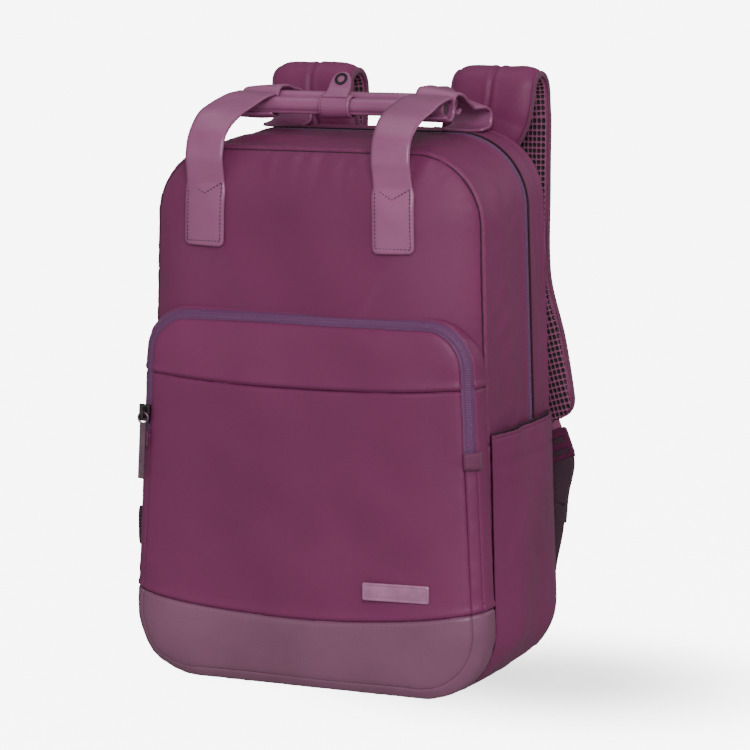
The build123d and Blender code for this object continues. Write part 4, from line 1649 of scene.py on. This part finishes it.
def nylon_section(share, wide):
    """Outer half of the strap: crowned, with a groove along the middle seam."""
    squeeze = pressed(share)
    top = []
    for a in np.linspace(-1, 1, 41):
        groove = 1.9 * math.exp(-(a * wide / 2 / 1.3) ** 2)
        beside = 0.5 * math.exp(-((abs(a) * wide / 2 - 3.6) / 2.2) ** 2)
        crown = 6.6 * (1 - 0.72 * abs(a) ** 7) - groove + beside
        top.append((a * wide / 2, crown * squeeze))
    bottom = [(a * wide / 2 * 0.985, -2.6 * squeeze) for a in np.linspace(1, -1, 17)]
    return top + bottom


def rounded_end(route4, reach=15.0):
    """Narrow the last few millimetres of a strap, so that its corners are round."""
    from_end = line_length(route4[:, :3])[-1] - line_length(route4[:, :3])
    share = np.clip((reach - from_end) / reach, 0, 1)
    route4 = route4.copy()
    route4[:, 3] *= 0.5 + 0.5 * np.sqrt(1 - share ** 2.4)
    return route4


for name, side in SIDES:
    strap_body = f"{name}_strap"
    stations = [(side * x, y, z, wide) for x, y, z, wide in strap_stations]
    route4 = rounded_end(smooth(stations, 1.5))
    route, wide = route4[:, :3], route4[:, 3]
    outer = sweep(f"strap_nylon_{name}", route, wide, nylon_section, nylon)
    points, normals = vertex_table(outer.data) / MM, vertex_table(outer.data, "normal")
    push = 0.4 * ripple(points, 34) + 0.12 * ripple(points, 12)
    outer.data.vertices.foreach_set("co", ((points + normals * push[:, None]) * MM).ravel())
    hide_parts(f"strap_root_{name}", f"strap_pad_{name}")
    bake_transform(outer)

    fine = rounded_end(smooth(stations, 0.95))
    across, under = frames_of(fine[:, :3])
    lengths = line_length(fine[:, :3])
    squeeze = np.array([pressed(i / (len(fine) - 1)) for i in range(len(fine))])
    columns = np.linspace(-1, 1, 69)
    half = fine[:, 3] / 2 - 1.2
    out = columns[None, :] * half[:, None]
    belly = (2.7 + 3.1 * (1 - np.abs(columns) ** 6)[None, :]) * squeeze[:, None]
    down = np.broadcast_to(lengths[:, None], out.shape)
    belly -= mesh_dimples(out, down)
    knit = (fine[:, None, :3] + across[:, None, :] * out[:, :, None]
            + under[:, None, :] * belly[:, :, None])
    underside = panel(f"strap_air_mesh_{name}", knit, air_mesh, 1.6,
                      flat=np.stack((out, down), axis=2))
    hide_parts(f"strap_mesh_{name}")
    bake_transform(underside)

    across, under = frames_of(route)
    for edge in (-1, 1):
        centre = route + across * (edge * wide / 2)[:, None]
        rows = []
        for i, (place_, way, inner) in enumerate(zip(centre, across, under)):
            squeeze_ = pressed(i / (len(route) - 1))
            rows.append([place_ + way * (1.7 * math.cos(t))
                         - inner * ((1.9 + 2.5 * math.sin(t)) * squeeze_ - 1.4)
                         for t in np.linspace(0, 2 * math.pi, 15)[:-1]])
        label = "inner" if edge * side < 0 else "outer"
        trim = tube(f"strap_binding_{name}_{label}", np.array(rows), binding)
        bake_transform(trim)
print("shoulder straps swept")

# %% [markdown]
# The lower end of each strap carries a folded loop of webbing, which holds the ladder lock.
# A second webbing comes up from the bag's corner, goes through the lock and hangs free. The
# run is made in two lengths that meet halfway.

# %% Webbing
def webbing_section(thick):
    """Section of flat webbing with slightly rounded edges, for sweep()."""
    def outline(_, wide):
        half, t = wide / 2, thick / 2
        ends = ((-half, 0), (-half + 0.3, t * 0.8), (-half + 1, t))
        top = [*ends, (0, t), (half - 1, t), (half - 0.3, t * 0.8), (half, 0)]
        return top + [(a, -h) for a, h in top[-2:0:-1]]
    return outline


strap_end = np.array((110, 104, 200.0))
strap_down = unit(strap_end - (91, 106.5, 247))
LOOP, LOCK, LOCK_GAP = 17.0, 24.0, 1.2     # loop's and lock's length and the play between them
TAPE = 25.0                                # width of the webbing
lock_top = strap_end + strap_down * (LOOP + LOCK_GAP + 0.3)
lock_foot = lock_top + strap_down * (LOCK + LOCK_GAP + 0.5)


def flipped(point, side):
    """A point of the right strap, or for side -1 its twin on the left."""
    return np.array(point, float) * (side, 1, 1)


def tape(name, points, side, wide, thick, finish):
    """Webbing along points of the right strap, or mirrored for side -1."""
    route = smooth([flipped(point, side) for point in points], 1.2)
    return sweep(name, route, np.full(len(route), wide), webbing_section(thick), finish)


run_split = (124, 96, 132)
lower_run = [run_split, (123.5, 90, 106), (122.5, 80, 84), (122, 75.4, 66), (121, 74.6, 50)]
upper_run = [lock_top + strap_down * 6.5, lock_foot,
             (lock_foot + run_split) / 2 + (0.4, 0.8, 0), run_split,
             np.array(run_split) * 0.96 + np.array((123.7, 93.2, 119)) * 0.04]
tail_run = [lock_top + strap_down * 13 + (0, 2.2, 0), lock_foot + (0.3, 4.0, 0),
            (123.5, 103, 136), (122.5, 100, 113)]
for name, side in SIDES:
    strap_body, lock_body = f"{name}_strap", f"{name}_buckle"
    loop = tape(f"lock_loop_{name}",
                [strap_end - strap_down * 14, strap_end,
                 strap_end + strap_down * (LOOP + 1.4)], side, TAPE + 1, 3.8, plum_webbing)
    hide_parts(f"strap_loop_{name}")
    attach(loop, strap_body)
    lower = tape(f"webbing_lower_{name}", lower_run, side, TAPE, 1.8, dark_webbing)
    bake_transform(lower)
    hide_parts(f"webbing_{name}")
    upper = tape(f"webbing_upper_{name}", upper_run, side, TAPE - 0.1, 1.7, dark_webbing)
    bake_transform(upper)
    tail = tape(f"webbing_tail_{name}", tail_run, side, TAPE, 1.8, dark_webbing)
    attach(tail, lock_body)
    hem = tape(f"webbing_tail_hem_{name}", [(123, 101.6, 124), (122.4, 100, 112.2)], side,
               TAPE - 0.6, 3.6, dark_webbing)
    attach(hem, lock_body)
    face = np.array((side * 0.1, 1, 0.2))
    root = flipped(strap_end, side) - flipped(strap_down, side) * 5
    for shift in (0, 5):
        bartack(f"loop_bartack_{name}_{shift}", root + (0, 3.4 + 0.5 * (shift == 0), shift),
                (1, 0, side * 0.35), face, 20, 1.8, strap_body, dark_thread)

# %% [markdown]
# Ladder locks are moulded: a frame with two bars and a ribbed lip for the thumb. The CAD lock
# has the right frame, so it stays, and the lip and its ribs are added.

# %% Ladder lock lips
for name, side in SIDES:
    down = flipped(strap_down, side)
    across_ = unit(np.array((1.0, 0, 0)) - down * down[0])
    face = np.cross(down, across_)
    face = face if face[1] > 0 else -face
    rows = []
    for d, h in ((15.5, 2.0), (15.5, 2.9), (17, 3.6), (18.2, 3.0), (19.2, 3.8), (20.4, 3.1),
                 (21.4, 3.9), (22.6, 3.1), (23.6, 3.6), (24.2, 2.6), (24.2, 1.6)):
        base = flipped(lock_top, side) + down * d + face * h
        rows.append([base + across_ * a for a in np.linspace(-14.5, 14.5, 17)])
    lip = panel(f"lock_lip_{name}", np.array(rows), buckle_plastic, 1.2, side=side)
    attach(lip, f"{name}_buckle")

# %% [markdown]
# ## Back pads
# The pads are foam under air mesh. Each starts as a thin plate and is blown up by cloth
# simulation with its edge held, which gives the soft crown and the slight pull at the corners
# that a drawn shape never quite has. The knit's dimples are pressed in afterwards.

# %% Inflate a pad by cloth simulation
VOXEL = 4.5                                # size of the remeshed faces, in millimetres
FRAMES = 20                                # length of the simulation
PRESSURE = 4.0


def inflated_pad(name, lo, hi, corner, finish, cap):
    """Pad between two corners, crowned towards +Y; the cap limits how far cloth may move."""
    ring = rounded_outline(lo + (2, 0, 2), hi - (2, 0, 2), corner)
    near, far = lo[1] + 0.3, hi[1] - 3.0
    points = [(x, near, z) for x, z in ring] + [(x, far, z) for x, z in ring]
    count = len(ring)
    faces = [tuple(range(count)), tuple(range(2 * count - 1, count - 1, -1))]
    faces += [(i, (i + 1) % count, (i + 1) % count + count, i + count) for i in range(count)]
    pad = make(name, points, faces, finish)
    view = bpy.context.view_layer
    view.objects.active = pad
    remesh = pad.modifiers.new("voxels", "REMESH")
    remesh.mode = "VOXEL"
    remesh.voxel_size = VOXEL * MM
    settle(pad)
    start = vertex_table(pad.data)
    held = pad.vertex_groups.new(name="held")
    held.add([i for i, p in enumerate(start) if p[1] < (lo[1] + 2.0) * MM], 1.0, "REPLACE")
    cloth = pad.modifiers.new("cloth", "CLOTH")
    cloth.settings.use_pressure = True
    cloth.settings.uniform_pressure_force = PRESSURE
    cloth.settings.vertex_group_mass = "held"
    cloth.settings.effector_weights.gravity = 0
    cloth.settings.tension_stiffness = 12
    cloth.settings.bending_stiffness = 0.4
    cloth.point_cache.frame_start, cloth.point_cache.frame_end = 1, FRAMES
    for step in range(1, FRAMES + 1):
        bpy.context.scene.frame_set(step)
    settle(pad)
    bpy.context.scene.frame_set(1)
    shift = vertex_table(pad.data) - start
    reach = np.linalg.norm(shift, axis=1, keepdims=True)
    print(f"{name}: cloth moved by up to {reach.max() / MM:.1f} mm, cap {cap} mm")
    shift *= np.minimum(1, cap * MM / np.maximum(reach, 1e-9))
    pad.data.vertices.foreach_set("co", (start + shift).ravel())
    return pad


def settle(piece):
    """Replace a piece's mesh by what its modifiers make of it."""
    graph = bpy.context.evaluated_depsgraph_get()
    graph.update()
    mesh = bpy.data.meshes.new_from_object(piece.evaluated_get(graph))
    piece.modifiers.clear()
    old = piece.data
    piece.data = mesh
    bpy.data.meshes.remove(old)


def soften(piece, levels):
    """Subdivide a piece for good and shade it smooth."""
    division = piece.modifiers.new("division", "SUBSURF")
    division.levels = levels
    division.render_levels = levels
    settle(piece)
    shade_smooth(piece.data)


# %% Two back pads
for name, _ in SIDES:
    lo, hi = low(f"back_pad_{name}"), high(f"back_pad_{name}")
    pad = inflated_pad(f"back_pad_cushion_{name}", lo, hi, 24, air_mesh, cap=5.0)
    soften(pad, 2)
    points, normals = vertex_table(pad.data) / MM, vertex_table(pad.data, "normal")
    x, z = points[:, 0], points[:, 2]
    mid_x, mid_z = (lo[0] + hi[0]) / 2, (lo[2] + hi[2]) / 2
    channel = 0.0
    for seam_z in (mid_z - 50, mid_z + 50):
        gap = z - (seam_z + 12 * np.cos((x - mid_x) / 24.0))
        channel = channel + 3.4 * np.exp(-(gap / 2.6) ** 2)
    edge = np.minimum(np.minimum(x - lo[0], hi[0] - x), np.minimum(z - lo[2], hi[2] - z))
    channel = channel * np.clip((edge - 2) / 10, 0, 1)
    face = np.clip((normals[:, 1] - 0.2) / 0.3, 0, 1)
    points[:, 1] -= (channel + mesh_dimples(x, z, 0.8) * np.clip((edge - 3) / 4, 0, 1)) * face
    pad.data.vertices.foreach_set("co", (points * MM).ravel())
    lay_map(pad.data, points[:, (0, 2)])
    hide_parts(f"back_pad_{name}")
    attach(pad, "bag")
    outline = [(px, lo[1] + 1.0, pz)
               for px, pz in rounded_outline(lo - (1, 0, 1), hi + (1, 0, 1), 27)]
    ring = resample(np.array(outline + outline[:1]), 1.5)[0]
    # a negative radius starts the piping's map on the side that faces the pad
    cord(f"back_pad_piping_{name}", ring[:-1], (-1.6, 1.7), binding, closed=True)

# %% [markdown]
# ## Yoke, anchors, divider and organizer
# These flat sewn pieces are shallow cushions: a rounded outline whose rings step in and up.

# %% Flat cushions
def cushion(name, lo, hi, corner, face_y, rise, finish, bulge=1.0):
    """Shallow sewn pad on an XZ plane; face_y is its back, rise its height towards +Y."""
    rings = []
    span = min(hi[0] - lo[0], hi[2] - lo[2]) / 2
    for inset, share in ((0.6, 0.0), (0.0, 0.25), (0.25, 0.6), (1.2, 0.86), (3.0, 0.97),
                         (span * 0.4, 1.0), (span * 0.75, 1.0 + 0.12 * bulge),
                         (span - 0.6, 1.0 + 0.15 * bulge)):
        outline = rounded_outline(lo + (inset, 0, inset), hi - (inset, 0, inset),
                                max(min(corner - inset, span - inset - 0.1), 0.3))
        rings.append([(x, face_y + rise * share, z) for x, z in outline])
    points = np.array(rings).reshape(-1, 3)
    piece = make(name, points, tube_faces(len(rings), len(rings[0])), finish, points[:, (0, 2)])
    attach(piece, "bag")
    return piece


def box_stitch(name, lo, hi, y, inset=2.2):
    """Stitches all round a sewn piece, a little inside its edge."""
    x0, x1, z0, z1 = lo[0] + inset, hi[0] - inset, lo[2] + inset, hi[2] - inset
    corners = [(x0, z0), (x1, z0), (x1, z1), (x0, z1), (x0, z0)]
    line = [(x, y, z) for x, z in walk(corners, 11)]
    sew(name, line, [(0, 1, 0)] * len(line), dark_thread, 3.0, 2.1, 0.25)


# %% Yoke and webbing anchors
lo, hi = low("strap_yoke") - (0, 0, 4), high("strap_yoke") + (0, 0, 4)
yoke = cushion("yoke_band", lo, hi, 6, lo[1] - 0.1, 3.4, nylon)
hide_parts("strap_yoke")
box_stitch("yoke_stitch", lo, hi, lo[1] + 3.4)
anchor_corners = np.array([(106, 34), (132, 40), (136, 60), (111, 60)], float)
for name, side in SIDES:
    anchor_y = high(f"webbing_anchor_{name}")[1] + 0.2
    rows = []
    for share in np.linspace(0, 1, 14):
        first = anchor_corners[0] + (anchor_corners[3] - anchor_corners[0]) * share
        last = anchor_corners[1] + (anchor_corners[2] - anchor_corners[1]) * share
        rows.append([(side * (first[0] + (last[0] - first[0]) * t),
                      anchor_y - 1.2 * abs(2 * t - 1) ** 8, first[1] + (last[1] - first[1]) * t)
                     for t in np.linspace(0, 1, 16)])
    anchor = panel(f"anchor_patch_{name}", np.array(rows), plum_webbing, 2.9, side=side)
    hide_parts(f"webbing_anchor_{name}")
    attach(anchor, "bag")
    for label, z, length in (("", 52, 20), ("_low", 44, 18)):
        bartack(f"anchor_bartack{label}_{name}", (side * 121, anchor_y, z), (1, 0, side * 0.1),
                (0, 1, 0), length, 2.2)

# %% Divider and organizer
for node, name, corner, bulge, fill, inset in (
    ("laptop_divider", "divider_pad", 20, 0.3, 0.5, 7),
    ("organizer_pocket", "organizer_panel", 12, 0.2, 0.3, 4),
):
    lo, hi = low(node), high(node)
    piece = cushion(name, lo, hi, corner, lo[1], hi[1] - lo[1], lining_and_shade, bulge)
    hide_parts(node)
    box_stitch(f"{name.split('_')[0]}_stitch", lo, hi, hi[1] + 0.1, inset)

# %% [markdown]
# ## Side tab
# A folded tab of webbing is caught in the left front seam.

# %% Side tab
lo, hi = low("side_tab"), high("side_tab")
rows = []
for z in np.linspace(lo[2], hi[2], 16):
    reach = hi[0] - lo[0] + 5.5 - 1.2 * abs(2 * (z - lo[2]) / (hi[2] - lo[2]) - 1) ** 6
    rows.append([(hi[0] + 1.5 - reach * t, lo[1] - 1.5 - 2.5 * t - 0.5 * math.sin(math.pi * t), z)
                 for t in np.linspace(0, 1, 10)])
side_tab = panel("seam_tab", np.array(rows), dark_webbing, 2.4)
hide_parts("side_tab")
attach(side_tab, "bag")

# %% [markdown]
# ## Finishes for the solids that stay
# Hard parts keep their exact CAD meshes and only get a finish: sliders, pulls, rings, the
# ladder locks, the base, and the cords inside the grips.

# %% Finishes on frame nodes
kept_finishes = {
    gunmetal: ("main_slider", "pocket_slider", "snap_eyelet"),
    pull_metal: ("main_pull", "pocket_pull"),
    buckle_plastic: ("buckle_left", "buckle_right"),
    board_plastic: ("base_board",),
    foam_cord: ("front_grip_core", "rear_grip_core"),
    nylon: ("bottom_panel",),
}
for finish, nodes in kept_finishes.items():
    for node in nodes:
        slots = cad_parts[node].material_slots
        if not slots:
            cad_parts[node].data.materials.append(finish)
        for material_slot in slots:
            material_slot.material = finish
